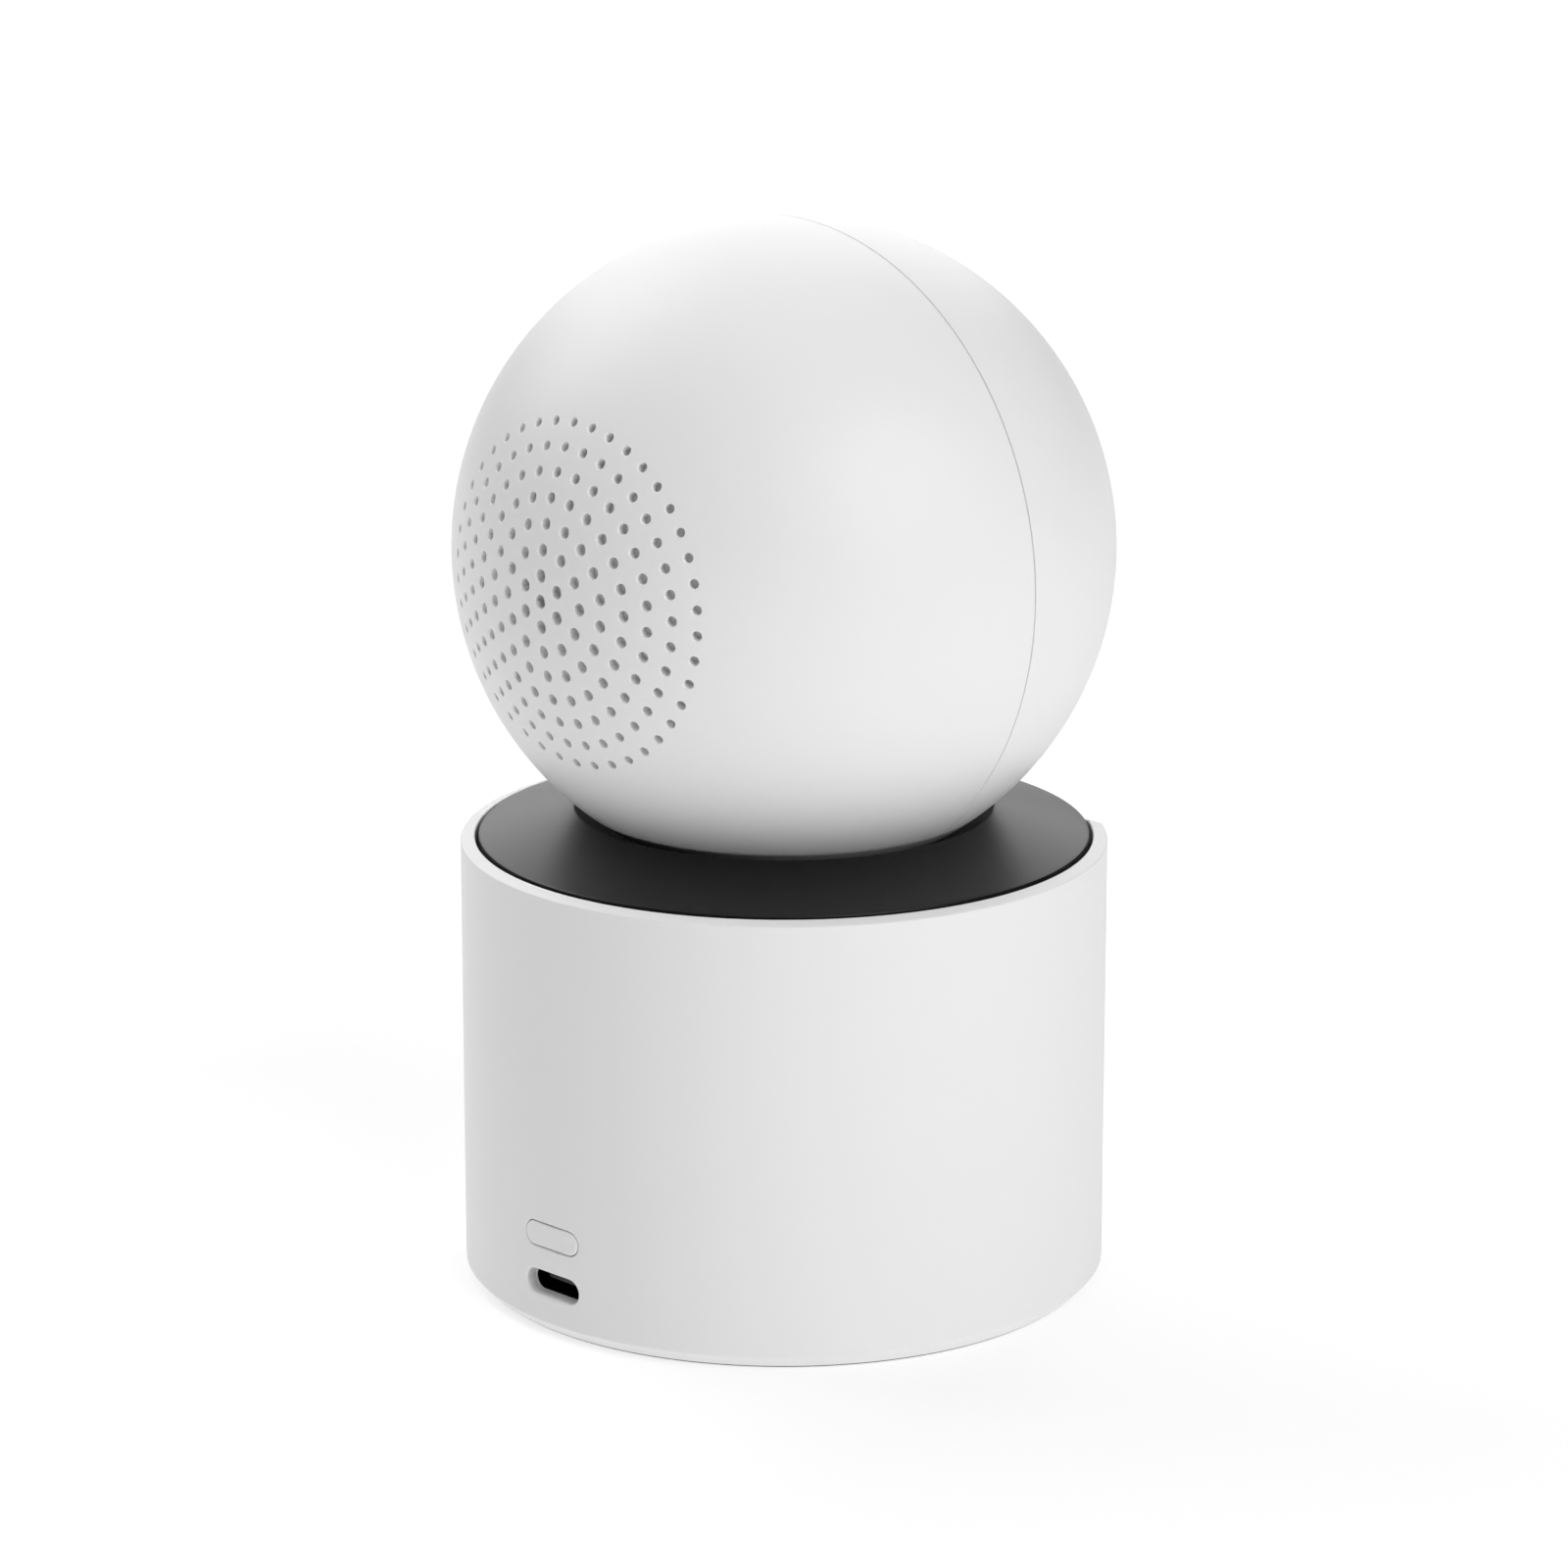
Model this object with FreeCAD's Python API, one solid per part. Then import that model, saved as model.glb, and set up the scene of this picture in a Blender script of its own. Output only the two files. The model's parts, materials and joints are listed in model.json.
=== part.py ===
import FreeCAD, Part
import math
import os

# Pan-and-tilt security camera: a ball head sits in a turning disc on a round base.
# Millimetres, +Z up, lens towards -Y, speaker and power port towards +Y.
# The origin is the middle of the foot, on the surface that the camera stands on.

V = FreeCAD.Vector
X, Y, Z = V(1, 0, 0), V(0, 1, 0), V(0, 0, 1)

# Base
BASE_R = 39.0
WALL = 2.4
RIM_Z = 54.3                     # outer edge of the rim
RIM_SLOPE = 17.0                 # degrees, the rim rises inwards
RIM_BORE_R = 37.25
BORE_FLOOR_Z = 48.0
FOOT_CHAMFER = 1.72
FOOT_GAP = 0.2                   # the shell stands this high on the rubber ring
FRONT_CUT_Y = -30.9              # where the lowered front of the rim starts
FRONT_CUT_SLOPE = 21.5
BASE_IN_R = BASE_R - WALL
COLUMN_AT_R = 32.6               # four screw columns inside the shell
COLUMN_R = 3.2
COVER_TOP_Z = 2.8
DECK_Z = 38.0
DECK_T = 2.4

# Turntable
DISC_R = 36.85
DISC_EDGE_Z = 54.92
OPENING_Z = 58.4
BOWL_R = 40.5                    # hollow that the ball sits in
BOWL_T = 2.0
SKIRT_Z = 49.2
PAD_Z = 47.0                     # underside of the turntable's middle
PAD_R = 15.5

# Ball head
BALL_R = 39.6
BALL_Z = 90.0
BALL_WALL = 2.2
BALL_IN_R = BALL_R - BALL_WALL
SEAM_Y = -1.4
SEAM_GAP = 0.16
LIP_T = 1.1                      # the rear shell's lip reaches this far in, behind the seam
TILT_MAX = 26.0
SLOT_HALF_X = 8.6
SLOT_HALF_Y = 21.45              # short enough to stay below the turntable's opening at rest

# Speaker grille: one hole in the middle and rings of 6, 12, 18 ... holes
GRILLE_RINGS = 7
GRILLE_STEP = 4.387              # degrees between rings
GRILLE_HOLE_D = 1.63
GRILLE_HOLE_LESS = 0.073         # each ring's holes are this much smaller
GRILLE_WALL = 1.3                # the shell is thinned behind the holes
GRILLE_POCKET_R = 20.6

# Window and lens
WINDOW_R = 21.5
WINDOW_T = 1.7
LENS_HOLE_R = 8.5

# Rear controls
BUTTON_W, BUTTON_H, BUTTON_Z = 8.8, 2.9, 12.5
BUTTON_GAP = 0.12
PORT_W, PORT_H, PORT_Z = 8.94, 3.16, 6.45
PORT_FACE_Y = 37.1               # the receptacle's mouth, behind the wall's recess

# Drives
MODULE = 0.5
PINION_TEETH = 15
PAN_TEETH = 60
TILT_TEETH = 48
PAN_DISTANCE = MODULE * (PAN_TEETH + PINION_TEETH) / 2
TILT_DISTANCE = MODULE * (TILT_TEETH + PINION_TEETH) / 2
TILT_MESH_ANGLE = 60.0           # direction of the tilt pinion, from +Y up
SPINDLE_R = 7.0
NECK_HALF_X = 7.7
NECK_HALF_Y = 4.2
BARREL_R = 6.0
BARREL_HALF_X = 9.5
SHAFT_R = 2.0
SECTOR_X1 = 12.15
ARM_X0, ARM_X1 = 12.6, 15.4
SHUTTER_R, SHUTTER_T = 34.7, 0.8
SHUTTER_HALF = 55.5              # degrees each way from straight down
SHUTTER_HOLE_HALF = 23.0
SHUTTER_HALF_X = 10.4
SHUTTER_HOLE_X = 8.3

# Head insides, as places along Y
FRAME_Y = -12.0
BOARD_Y = -16.2
SENSOR_Y = -22.6
LED_BOARD_Y = -31.0
SPEAKER_Y = 24.0

# Fits and small parts
SLIP = 0.02                      # gap between pieces that touch
BOARD_T = 1.2
SMALL_PILOT_R = 0.7              # holes that screws cut their threads in
PILOT_R = 0.75
BIG_PILOT_R = 0.95
SMALL_CLEAR_R = 0.9              # holes that screws pass through
CLEAR_R = 0.95
BIG_CLEAR_R = 1.15
BEYOND = 50.0                    # half size of blocks that cut everything on one side


def cylinder(r, a, b, axis=Z, at=(0, 0)):
    """A cylinder from a to b along an axis; at holds its centre's other two coordinates."""
    if axis == Z:
        start = V(at[0], at[1], a)
    elif axis == X:
        start = V(a, at[0], at[1])
    else:
        start = V(at[0], a, at[1])
    return Part.makeCylinder(r, b - a, start, axis)


def tube(r_out, r_in, a, b, axis=Z, at=(0, 0)):
    return cylinder(r_out, a, b, axis, at).cut(cylinder(r_in, a, b, axis, at))


def block(x0, x1, y0, y1, z0, z1):
    return Part.makeBox(x1 - x0, y1 - y0, z1 - z0, V(x0, y0, z0))


def rounded_block(x0, x1, y0, y1, z0, z1, r, axis=Z):
    """A block whose four edges along the axis are rounded."""
    shape = block(x0, x1, y0, y1, z0, z1)
    along = [e for e in shape.Edges if abs(e.tangentAt(e.FirstParameter).dot(axis)) > 0.99]
    return shape.makeFillet(r, along)


def ball(r):
    return Part.makeSphere(r, V(0, 0, BALL_Z))


def hollow_ball(r_out, r_in):
    return ball(r_out).cut(ball(r_in))


def between(y0, y1):
    """Everything around the ball between two places along Y."""
    return block(-BEYOND, BEYOND, y0, y1, BALL_Z - BEYOND, BALL_Z + BEYOND)


def front_bar(r, at=(0, BALL_Z)):
    """A bar that pierces the front of the ball along Y."""
    return cylinder(r, -BEYOND, -20, Y, at)


def turned(points):
    """A solid of revolution about Z from (radius, height) points."""
    corners = [V(r, 0, z) for r, z in points]
    face = Part.Face(Part.makePolygon(corners + [corners[0]]))
    return face.revolve(V(0, 0, 0), Z, 360)


def pill(width, height, y0, y1, z):
    """A bar along Y with a pill-shaped section, centred on x = 0."""
    r = height / 2
    half = width / 2 - r
    bar = block(-half, half, y0, y1, z - r, z + r)
    ends = [cylinder(r, y0, y1, Y, (x, z)) for x in (-half, half)]
    return bar.fuse(ends).removeSplitter()


def together(shapes):
    return Part.makeCompound(shapes)


def around(count, radius, first=0.0):
    """Points evenly spaced on a circle."""
    turns = [math.radians(first + 360.0 * k / count) for k in range(count)]
    return [(radius * math.cos(t), radius * math.sin(t)) for t in turns]


def screw(length, r, head_r, head_t, start, direction):
    """A pan-head screw: start is the middle of the head's bearing face."""
    shank = Part.makeCylinder(r, length, start, direction)
    head = Part.makeCylinder(head_r, head_t, start - direction * head_t, direction)
    drive = Part.makeCylinder(head_r * 0.4, head_t * 0.6, start - direction * head_t, direction)
    return shank.fuse(head).cut(drive)


def tooth_half_angle(radius, teeth):
    """Half the angle that an involute tooth spans at a radius."""
    pressure = math.radians(20.0)
    pitch_r = MODULE * teeth / 2
    base_r = pitch_r * math.cos(pressure)
    play = 0.02 / pitch_r
    at_radius = math.acos(min(1.0, base_r / max(radius, base_r)))
    involute = (math.tan(pressure) - pressure) - (math.tan(at_radius) - at_radius)
    return math.pi / (2 * teeth) - play + involute


def gear_outline(teeth, first_tooth, centre):
    """Corners of a spur gear with a tooth centred on the angle first_tooth (radians)."""
    pitch_r = MODULE * teeth / 2
    levels = [pitch_r + MODULE * k for k in (-1.2, -0.5, 0.0, 0.4, 0.8)]
    corners = []
    for tooth in range(teeth):
        middle = first_tooth + 2 * math.pi * tooth / teeth
        flank = [(r, tooth_half_angle(r, teeth)) for r in levels]
        for r, half in flank:
            corners.append((r, middle - half))
        for r, half in reversed(flank):
            corners.append((r, middle + half))
    return [(centre[0] + r * math.cos(t), centre[1] + r * math.sin(t)) for r, t in corners]


def gear(teeth, first_tooth, a, b, axis=Z, centre=(0, 0)):
    """A spur gear from a to b along Z or X."""
    points = gear_outline(teeth, first_tooth, centre)
    if axis == Z:
        corners = [V(u, v, a) for u, v in points]
    else:
        corners = [V(a, u, v) for u, v in points]
    face = Part.Face(Part.makePolygon(corners + [corners[0]]))
    return face.extrude(axis * (b - a))


def fan(middle, half, x0, x1):
    """A wedge about the tilt axis; angles in degrees from +Y up, from x0 to x1."""
    corners = [V(x0, 0, BALL_Z)]
    for k in range(5):
        turn = math.radians(middle - half + half * k / 2)
        corners.append(V(x0, 60 * math.cos(turn), BALL_Z + 60 * math.sin(turn)))
    return Part.Face(Part.makePolygon(corners + [corners[0]])).extrude(X * (x1 - x0))


# ---------------------------------------------------------------- base

COLUMNS = around(4, COLUMN_AT_R, 45.0)
PAN_MOTOR_Y = -PAN_DISTANCE - 5.0      # the motor's shaft is off its middle
PAN_MOTOR_EARS = (-13.5, 13.5)
POWER_BOARD_Y = 27.02
POWER_BOARD_POSTS = (-9.0, 9.0)
RIM_IN_Z = RIM_Z + (BASE_R - RIM_BORE_R) * math.tan(math.radians(RIM_SLOPE))


def front_cut():
    """The wedge above the sloping plane that lowers the front of the rim."""
    drop = math.tan(math.radians(FRONT_CUT_SLOPE))
    far = 45.0
    corners = [V(-60, FRONT_CUT_Y + 20, RIM_Z + 20 * drop),
               V(-60, -far, RIM_Z - (far + FRONT_CUT_Y) * drop),
               V(-60, -far, RIM_Z + 30),
               V(-60, FRONT_CUT_Y + 20, RIM_Z + 30)]
    return Part.Face(Part.makePolygon(corners + [corners[0]])).extrude(X * 120)


def make_base_shell():
    low_r = BASE_R - FOOT_CHAMFER + FOOT_GAP
    shell = turned([(low_r, FOOT_GAP), (BASE_R, FOOT_CHAMFER), (BASE_R, RIM_Z),
                    (RIM_BORE_R, RIM_IN_Z), (RIM_BORE_R, BORE_FLOOR_Z),
                    (BASE_IN_R, BORE_FLOOR_Z), (BASE_IN_R, FOOT_GAP)])
    shell = shell.cut(front_cut())
    for x, y in COLUMNS:
        column = cylinder(COLUMN_R, COVER_TOP_Z, DECK_Z, Z, (x, y))
        web = block(COLUMN_AT_R, BASE_IN_R + 0.4, -1.4, 1.4, COVER_TOP_Z, DECK_Z)
        web.rotate(V(0, 0, 0), Z, math.degrees(math.atan2(y, x)))
        shell = shell.fuse([column, web])
        shell = shell.cut(cylinder(BIG_PILOT_R, COVER_TOP_Z, COVER_TOP_Z + 7, Z, (x, y)))
        shell = shell.cut(cylinder(BIG_PILOT_R, DECK_Z - 7, DECK_Z, Z, (x, y)))
    button_hole = pill(BUTTON_W + 2 * BUTTON_GAP, BUTTON_H + 2 * BUTTON_GAP, 30, 45, BUTTON_Z)
    port_seat = pill(PORT_W + 0.2, PORT_H + 0.24, 30, PORT_FACE_Y + SLIP, PORT_Z)
    return shell.cut([button_hole, pill(PORT_W, PORT_H, 30, 45, PORT_Z), port_seat]).removeSplitter()


def make_bottom_cover():
    plate = cylinder(BASE_IN_R - 0.15, FOOT_GAP, COVER_TOP_Z)
    plate = plate.cut(tube(35.2, 30.3, FOOT_GAP, 1.0))
    plate = plate.fuse(cylinder(6.5, COVER_TOP_Z, 8.4))
    plate = plate.cut(cylinder(4.0, FOOT_GAP, 8.4))
    for x, y in COLUMNS:
        plate = plate.cut(cylinder(2.1, 1.0, 1.95, Z, (x, y)))
        plate = plate.cut(cylinder(BIG_CLEAR_R, 1.95, COVER_TOP_Z, Z, (x, y)))
    for x in POWER_BOARD_POSTS:
        post = block(x - 2.5, x + 2.5, 21.5, 27.0, COVER_TOP_Z, 23.0)
        post = post.cut(cylinder(SMALL_PILOT_R, 22.0, 27.0, Y, (x, 20.0)))
        plate = plate.fuse(post)
    for x, y in around(2, 20.0, 0.0):
        peg = cylinder(1.5, COVER_TOP_Z, 6.6, Z, (x, y))
        plate = plate.fuse(peg)
    return plate.removeSplitter()


def make_foot_ring():
    flange = tube(37.2, 30.0, 0.0, 0.18)
    return flange.fuse(tube(35.1, 30.4, 0.18, 0.95)).removeSplitter()


def make_tripod_insert():
    insert = cylinder(3.97, FOOT_GAP, 8.2)
    for z in (2.4, 5.4):
        insert = insert.cut(tube(4.2, 3.6, z, z + 0.8))
    return insert.cut(cylinder(2.55, FOOT_GAP, 7.2))


def make_base_screws():
    screws = []
    for x, y in COLUMNS:
        screws.append(screw(6.5, 0.92, 1.9, 0.85, V(x, y, 1.95), Z))
        screws.append(screw(8.5, 0.92, 1.9, 1.2, V(x, y, DECK_Z + DECK_T), -Z))
    return together(screws)


def make_counterweight():
    ring = tube(28.6, 10.0, COVER_TOP_Z + 0.02, 6.2)
    ring = ring.cut(block(-14.5, 14.5, 12.0, 30.0, 2.0, 7.0))
    for x, y in around(2, 20.0, 0.0):
        ring = ring.cut(cylinder(1.6, 2.0, 7.0, Z, (x, y)))
    return ring


def make_motor_deck():
    deck = cylinder(BASE_IN_R - 0.3, DECK_Z, DECK_Z + DECK_T)
    deck = deck.fuse(tube(12.4, 10.6, 33.2, DECK_Z))
    deck = deck.cut(cylinder(9.02, DECK_Z, DECK_Z + DECK_T))
    deck = deck.cut(cylinder(3.1, DECK_Z, DECK_Z + DECK_T, Z, (0, -PAN_DISTANCE)))
    for x, y in COLUMNS:
        deck = deck.cut(cylinder(BIG_CLEAR_R, DECK_Z, DECK_Z + DECK_T, Z, (x, y)))
    for x in PAN_MOTOR_EARS:
        deck = deck.cut(cylinder(SMALL_PILOT_R, DECK_Z, DECK_Z + 2.0, Z, (x, PAN_MOTOR_Y)))
    for x, y in ((-24.0, 0.0), (24.0, 0.0)):
        deck = deck.cut(rounded_block(x - 4, x + 4, -9, 9, DECK_Z, DECK_Z + DECK_T, 3.0))
    return deck.removeSplitter()


def make_pan_bearing():
    bush = tube(9.0, SPINDLE_R + 0.05, 37.2, DECK_Z + DECK_T)
    return bush.fuse(tube(10.8, SPINDLE_R + 0.05, DECK_Z + DECK_T, 40.95)).removeSplitter()


def make_pan_motor():
    top = DECK_Z - 0.05
    can = cylinder(10.0, top - 18.0, top, Z, (0, PAN_MOTOR_Y))
    can = can.makeFillet(0.8, [e for e in can.Edges if e.Closed])
    ears = rounded_block(-16.2, 16.2, PAN_MOTOR_Y - 2.8, PAN_MOTOR_Y + 2.8, top - 0.8, top, 2.5)
    nose = cylinder(3.0, top, DECK_Z + DECK_T, Z, (0, -PAN_DISTANCE))
    motor = can.fuse([ears, nose])
    for x in PAN_MOTOR_EARS:
        motor = motor.cut(cylinder(1.0, top - 1, top, Z, (x, PAN_MOTOR_Y)))
    return motor.cut(cylinder(1.05, top - 8, DECK_Z + DECK_T, Z, (0, -PAN_DISTANCE)))


def make_base_machine_screws():
    size = (0.68, 1.5, 0.8)
    motor = [screw(2.6, *size, V(x, PAN_MOTOR_Y, DECK_Z - 0.86), Z) for x in PAN_MOTOR_EARS]
    board = [screw(5.0, *size, V(x, POWER_BOARD_Y + BOARD_T, 20.0), -Y) for x in POWER_BOARD_POSTS]
    return together(motor + board)


def make_cable_cassette():
    case = tube(12.4, 5.2, 27.2, 33.18)
    return case.cut(tube(11.2, 6.4, 28.4, 32.0))


def make_power_board():
    face = POWER_BOARD_Y + BOARD_T
    board = rounded_block(-12, 12, POWER_BOARD_Y, face, 3.2, 24.0, 1.0, Y)
    for x in POWER_BOARD_POSTS:
        board = board.cut(cylinder(SMALL_CLEAR_R, POWER_BOARD_Y, face, Y, (x, 20.0)))
    inductor = rounded_block(-3, 3, face, face + 2.8, 17.6, 22.6, 1.2, Y)
    chip = block(-10.5, -6.5, face, face + 1.0, 10.0, 14.0)
    return board.fuse([inductor, chip])


def make_usb_c_shell():
    back = POWER_BOARD_Y + BOARD_T + SLIP
    outer = pill(8.94, 3.2, back, PORT_FACE_Y, PORT_Z)
    return outer.cut(pill(8.34, 2.6, back + 1.0, PORT_FACE_Y, PORT_Z))


def make_usb_c_tongue():
    back = POWER_BOARD_Y + BOARD_T + SLIP + 1.0
    tongue = block(-3.35, 3.35, back, PORT_FACE_Y - 0.9, PORT_Z - 0.35, PORT_Z + 0.35)
    return tongue.fuse(pill(8.2, 2.4, back, back + 1.4, PORT_Z)).removeSplitter()


def make_reset_switch():
    back = POWER_BOARD_Y + BOARD_T + SLIP
    body = rounded_block(-3, 3, back, 31.7, BUTTON_Z - 3, BUTTON_Z + 3, 0.5, Y)
    return body.cut(cylinder(1.9, 30.0, 31.7, Y, (0, BUTTON_Z)))


def make_reset_button():
    cap = pill(BUTTON_W, BUTTON_H, 35.0, 40.0, BUTTON_Z).common(cylinder(BASE_R + 0.08, 0, 30))
    flange = pill(11.0, 5.0, 34.6, 35.7, BUTTON_Z)
    stem = cylinder(1.6, 31.1, 34.6, Y, (0, BUTTON_Z))
    return cap.fuse([flange, stem]).removeSplitter()


# ---------------------------------------------------------------- turntable

TURNTABLE_SCREWS = around(4, 11.0, 45.0)
FLANGE_Z = 44.0
GEAR_Z = 41.0


def make_turntable_disc():
    slope = (OPENING_Z - DISC_EDGE_Z) / (DISC_R - math.sqrt(BOWL_R**2 - (BALL_Z - OPENING_Z)**2))
    opening_r = DISC_R - (OPENING_Z - DISC_EDGE_Z) / slope
    skirt_in = DISC_R - 1.6
    under = DISC_EDGE_Z + 1.6 * slope - 1.8
    cone = turned([(22, OPENING_Z), (opening_r, OPENING_Z), (DISC_R, DISC_EDGE_Z),
                   (DISC_R, SKIRT_Z), (skirt_in, SKIRT_Z), (skirt_in, under),
                   (22, under + (skirt_in - 22) * slope)])
    bowl = ball(BOWL_R + BOWL_T).common(cylinder(30, 40, OPENING_Z))
    disc = cone.fuse([bowl, cylinder(PAD_R, PAD_Z, 52)]).cut(ball(BOWL_R))
    disc = disc.cut(block(-NECK_HALF_X - 0.05, NECK_HALF_X + 0.05, -NECK_HALF_Y - 0.05,
                          NECK_HALF_Y + 0.05, 40, 60))
    for x, y in TURNTABLE_SCREWS:
        disc = disc.cut(cylinder(PILOT_R, PAD_Z, PAD_Z + 2.2, Z, (x, y)))
    return disc.removeSplitter()


def make_neck_column():
    flange = cylinder(13.8, FLANGE_Z, PAD_Z)
    column = rounded_block(-NECK_HALF_X, NECK_HALF_X, -NECK_HALF_Y, NECK_HALF_Y,
                           FLANGE_Z, BALL_Z, 1.5)
    barrel = cylinder(BARREL_R, -BARREL_HALF_X, BARREL_HALF_X, X, (0, BALL_Z))
    neck = flange.fuse([column, barrel])
    neck = neck.cut(block(-5.2, 5.2, -2.4, 2.4, FLANGE_Z, 80.0))
    neck = neck.cut(rounded_block(-3.2, 3.2, 0.0, 6.0, 73.0, 79.5, 1.2, Y))
    neck = neck.cut(cylinder(SHAFT_R + 0.01, -10, 10, X, (0, BALL_Z)))
    for x, y in TURNTABLE_SCREWS:
        neck = neck.cut(cylinder(CLEAR_R, FLANGE_Z, PAD_Z, Z, (x, y)))
    return neck.removeSplitter()


def make_pan_gear():
    wheel = gear(PAN_TEETH, math.radians(-90), GEAR_Z, FLANGE_Z)
    wheel = wheel.fuse(cylinder(SPINDLE_R, 34.0, GEAR_Z)).cut(cylinder(4.5, 34.0, FLANGE_Z))
    wheel = wheel.cut(tube(8.0, 6.4, 36.0, 36.95))
    for x, y in TURNTABLE_SCREWS:
        wheel = wheel.cut(cylinder(CLEAR_R, GEAR_Z, FLANGE_Z, Z, (x, y)))
        wheel = wheel.cut(cylinder(1.75, GEAR_Z, GEAR_Z + 1.1, Z, (x, y)))
    return wheel.removeSplitter()


def make_turntable_screws():
    size = (0.72, 1.6, 0.9)
    return together([screw(6.8, *size, V(x, y, GEAR_Z + 1.1), Z) for x, y in TURNTABLE_SCREWS])


def make_spindle_clip():
    ring = tube(9.0, 6.42, 36.05, 36.85)
    return ring.cut(block(-1.6, 1.6, 4.0, 10.0, 35, 38))


def make_tilt_shaft():
    return cylinder(SHAFT_R, -16.0, 16.0, X, (0, BALL_Z))


def make_tilt_sector():
    """The part of a fixed gear that the tilt pinion walks along, on a round hub."""
    middle = math.radians(TILT_MESH_ANGLE)
    near, far = BARREL_HALF_X + SLIP, SECTOR_X1
    wheel = gear(TILT_TEETH, middle, near, far, X, (0, BALL_Z))
    wedge = fan(TILT_MESH_ANGLE, TILT_MAX + 13.0, near - 0.5, far + 0.5)
    hub = cylinder(5.6, near, far, X, (0, BALL_Z))
    sector = wheel.common(wedge).fuse(hub).cut(cylinder(SHAFT_R + 0.01, near, far, X, (0, BALL_Z)))
    lightening = [cylinder(1.1, near, far, X, (8.6 * math.cos(t), BALL_Z + 8.6 * math.sin(t)))
                  for t in (middle - 0.42, middle, middle + 0.42)]
    return sector.cut(lightening)


def make_friction_washer():
    return tube(5.2, SHAFT_R + 0.03, -SECTOR_X1 - 0.05, -BARREL_HALF_X - SLIP, X, (0, BALL_Z))


def make_cable_harness():
    strands = [cylinder(0.75, 26.0, 78.5, Z, (x, y)) for x, y in around(3, 1.1, 90.0)]
    return strands[0].fuse(strands[1:]).removeSplitter()


def make_pan_pinion():
    toward_gear = math.radians(90)
    wheel = gear(PINION_TEETH, toward_gear + math.pi / PINION_TEETH, GEAR_Z, FLANGE_Z - 0.2,
                 Z, (0, -PAN_DISTANCE))
    return wheel.fuse(cylinder(1.0, 32.0, GEAR_Z, Z, (0, -PAN_DISTANCE))).removeSplitter()


# ---------------------------------------------------------------- ball head shells

def neck_slot():
    low, high = BALL_Z - 45.0, BALL_Z - 15.0
    return rounded_block(-SLOT_HALF_X, SLOT_HALF_X, -SLOT_HALF_Y, SLOT_HALF_Y, low, high, 4.0)


def on_head(polar, turn, r):
    """A point at a distance from the ball's centre, polar degrees off +Y, turned from the top."""
    p, t = math.radians(polar), math.radians(turn)
    return V(r * math.sin(p) * math.sin(t), r * math.cos(p), BALL_Z + r * math.sin(p) * math.cos(t))


def grille_holes():
    centre = V(0, 0, BALL_Z)
    drills = []
    for ring in range(GRILLE_RINGS + 1):
        radius = (GRILLE_HOLE_D - GRILLE_HOLE_LESS * ring) / 2
        count = max(1, 6 * ring)
        for k in range(count):
            way = (on_head(GRILLE_STEP * ring, 360.0 * k / count, 1.0) - centre).normalize()
            drills.append(Part.makeCylinder(radius, 8.0, centre + way * 34.0, way))
    return drills


SPEAKER_BOSSES = [(23.0 * math.sin(t), BALL_Z + 23.0 * math.cos(t))
                  for t in (0.0, math.radians(120), math.radians(240))]


def make_rear_shell():
    back = SEAM_Y + SEAM_GAP / 2
    shell = hollow_ball(BALL_R, BALL_IN_R).common(between(back, BEYOND))
    lip = hollow_ball(BALL_IN_R - 0.1, BALL_IN_R - LIP_T).common(between(SEAM_Y - 3.0, SEAM_Y + 3.0))
    root = hollow_ball(BALL_IN_R + 0.2, BALL_IN_R - LIP_T).common(between(back, SEAM_Y + 3.0))
    shell = shell.fuse([lip, root])
    thin = hollow_ball(BALL_R - GRILLE_WALL, BALL_IN_R - 1.0)
    shell = shell.cut(thin.common(cylinder(GRILLE_POCKET_R, 20, 45, Y, (0, BALL_Z))))
    for x, z in SPEAKER_BOSSES:
        boss = cylinder(2.3, SPEAKER_Y + 1.5, 34.0, Y, (x, z)).common(ball(BALL_IN_R + 0.5))
        shell = shell.fuse(boss).cut(cylinder(PILOT_R, SPEAKER_Y, SPEAKER_Y + 4.5, Y, (x, z)))
    shell = shell.cut(neck_slot())
    return shell.cut(grille_holes()).removeSplitter()


FRAME_BOSSES = [(x, BALL_Z + z) for x in (-21.0, 21.0) for z in (-14.0, 14.0)]
CARD_TURN = 72.0                 # degrees from -Y towards +X
CARD_Z = 80.0


def card_block(r0, r1, half_w, half_t):
    """A flat block along the card's way in, between two distances from the middle."""
    shape = block(-half_w, half_w, -r1, -r0, CARD_Z - half_t, CARD_Z + half_t)
    shape.rotate(V(0, 0, 0), Z, CARD_TURN)
    return shape


def make_front_shell():
    front = SEAM_Y - SEAM_GAP / 2
    shell = hollow_ball(BALL_R, BALL_IN_R).common(between(-BEYOND, front))
    for x, z in FRAME_BOSSES:
        boss = cylinder(2.6, -34.0, FRAME_Y - SLIP, Y, (x, z)).common(ball(BALL_IN_R + 0.5))
        shell = shell.fuse(boss).cut(cylinder(PILOT_R, FRAME_Y - 6, FRAME_Y, Y, (x, z)))
    shell = shell.cut(front_bar(WINDOW_R + 0.1))
    return shell.cut([neck_slot(), card_block(30, 45, 6.0, 0.8)]).removeSplitter()


STATUS_AT = (0.0, BALL_Z + 11.5)
MIC_AT = [(-11.3, BALL_Z + 12.2), (11.3, BALL_Z + 12.2)]


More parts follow.
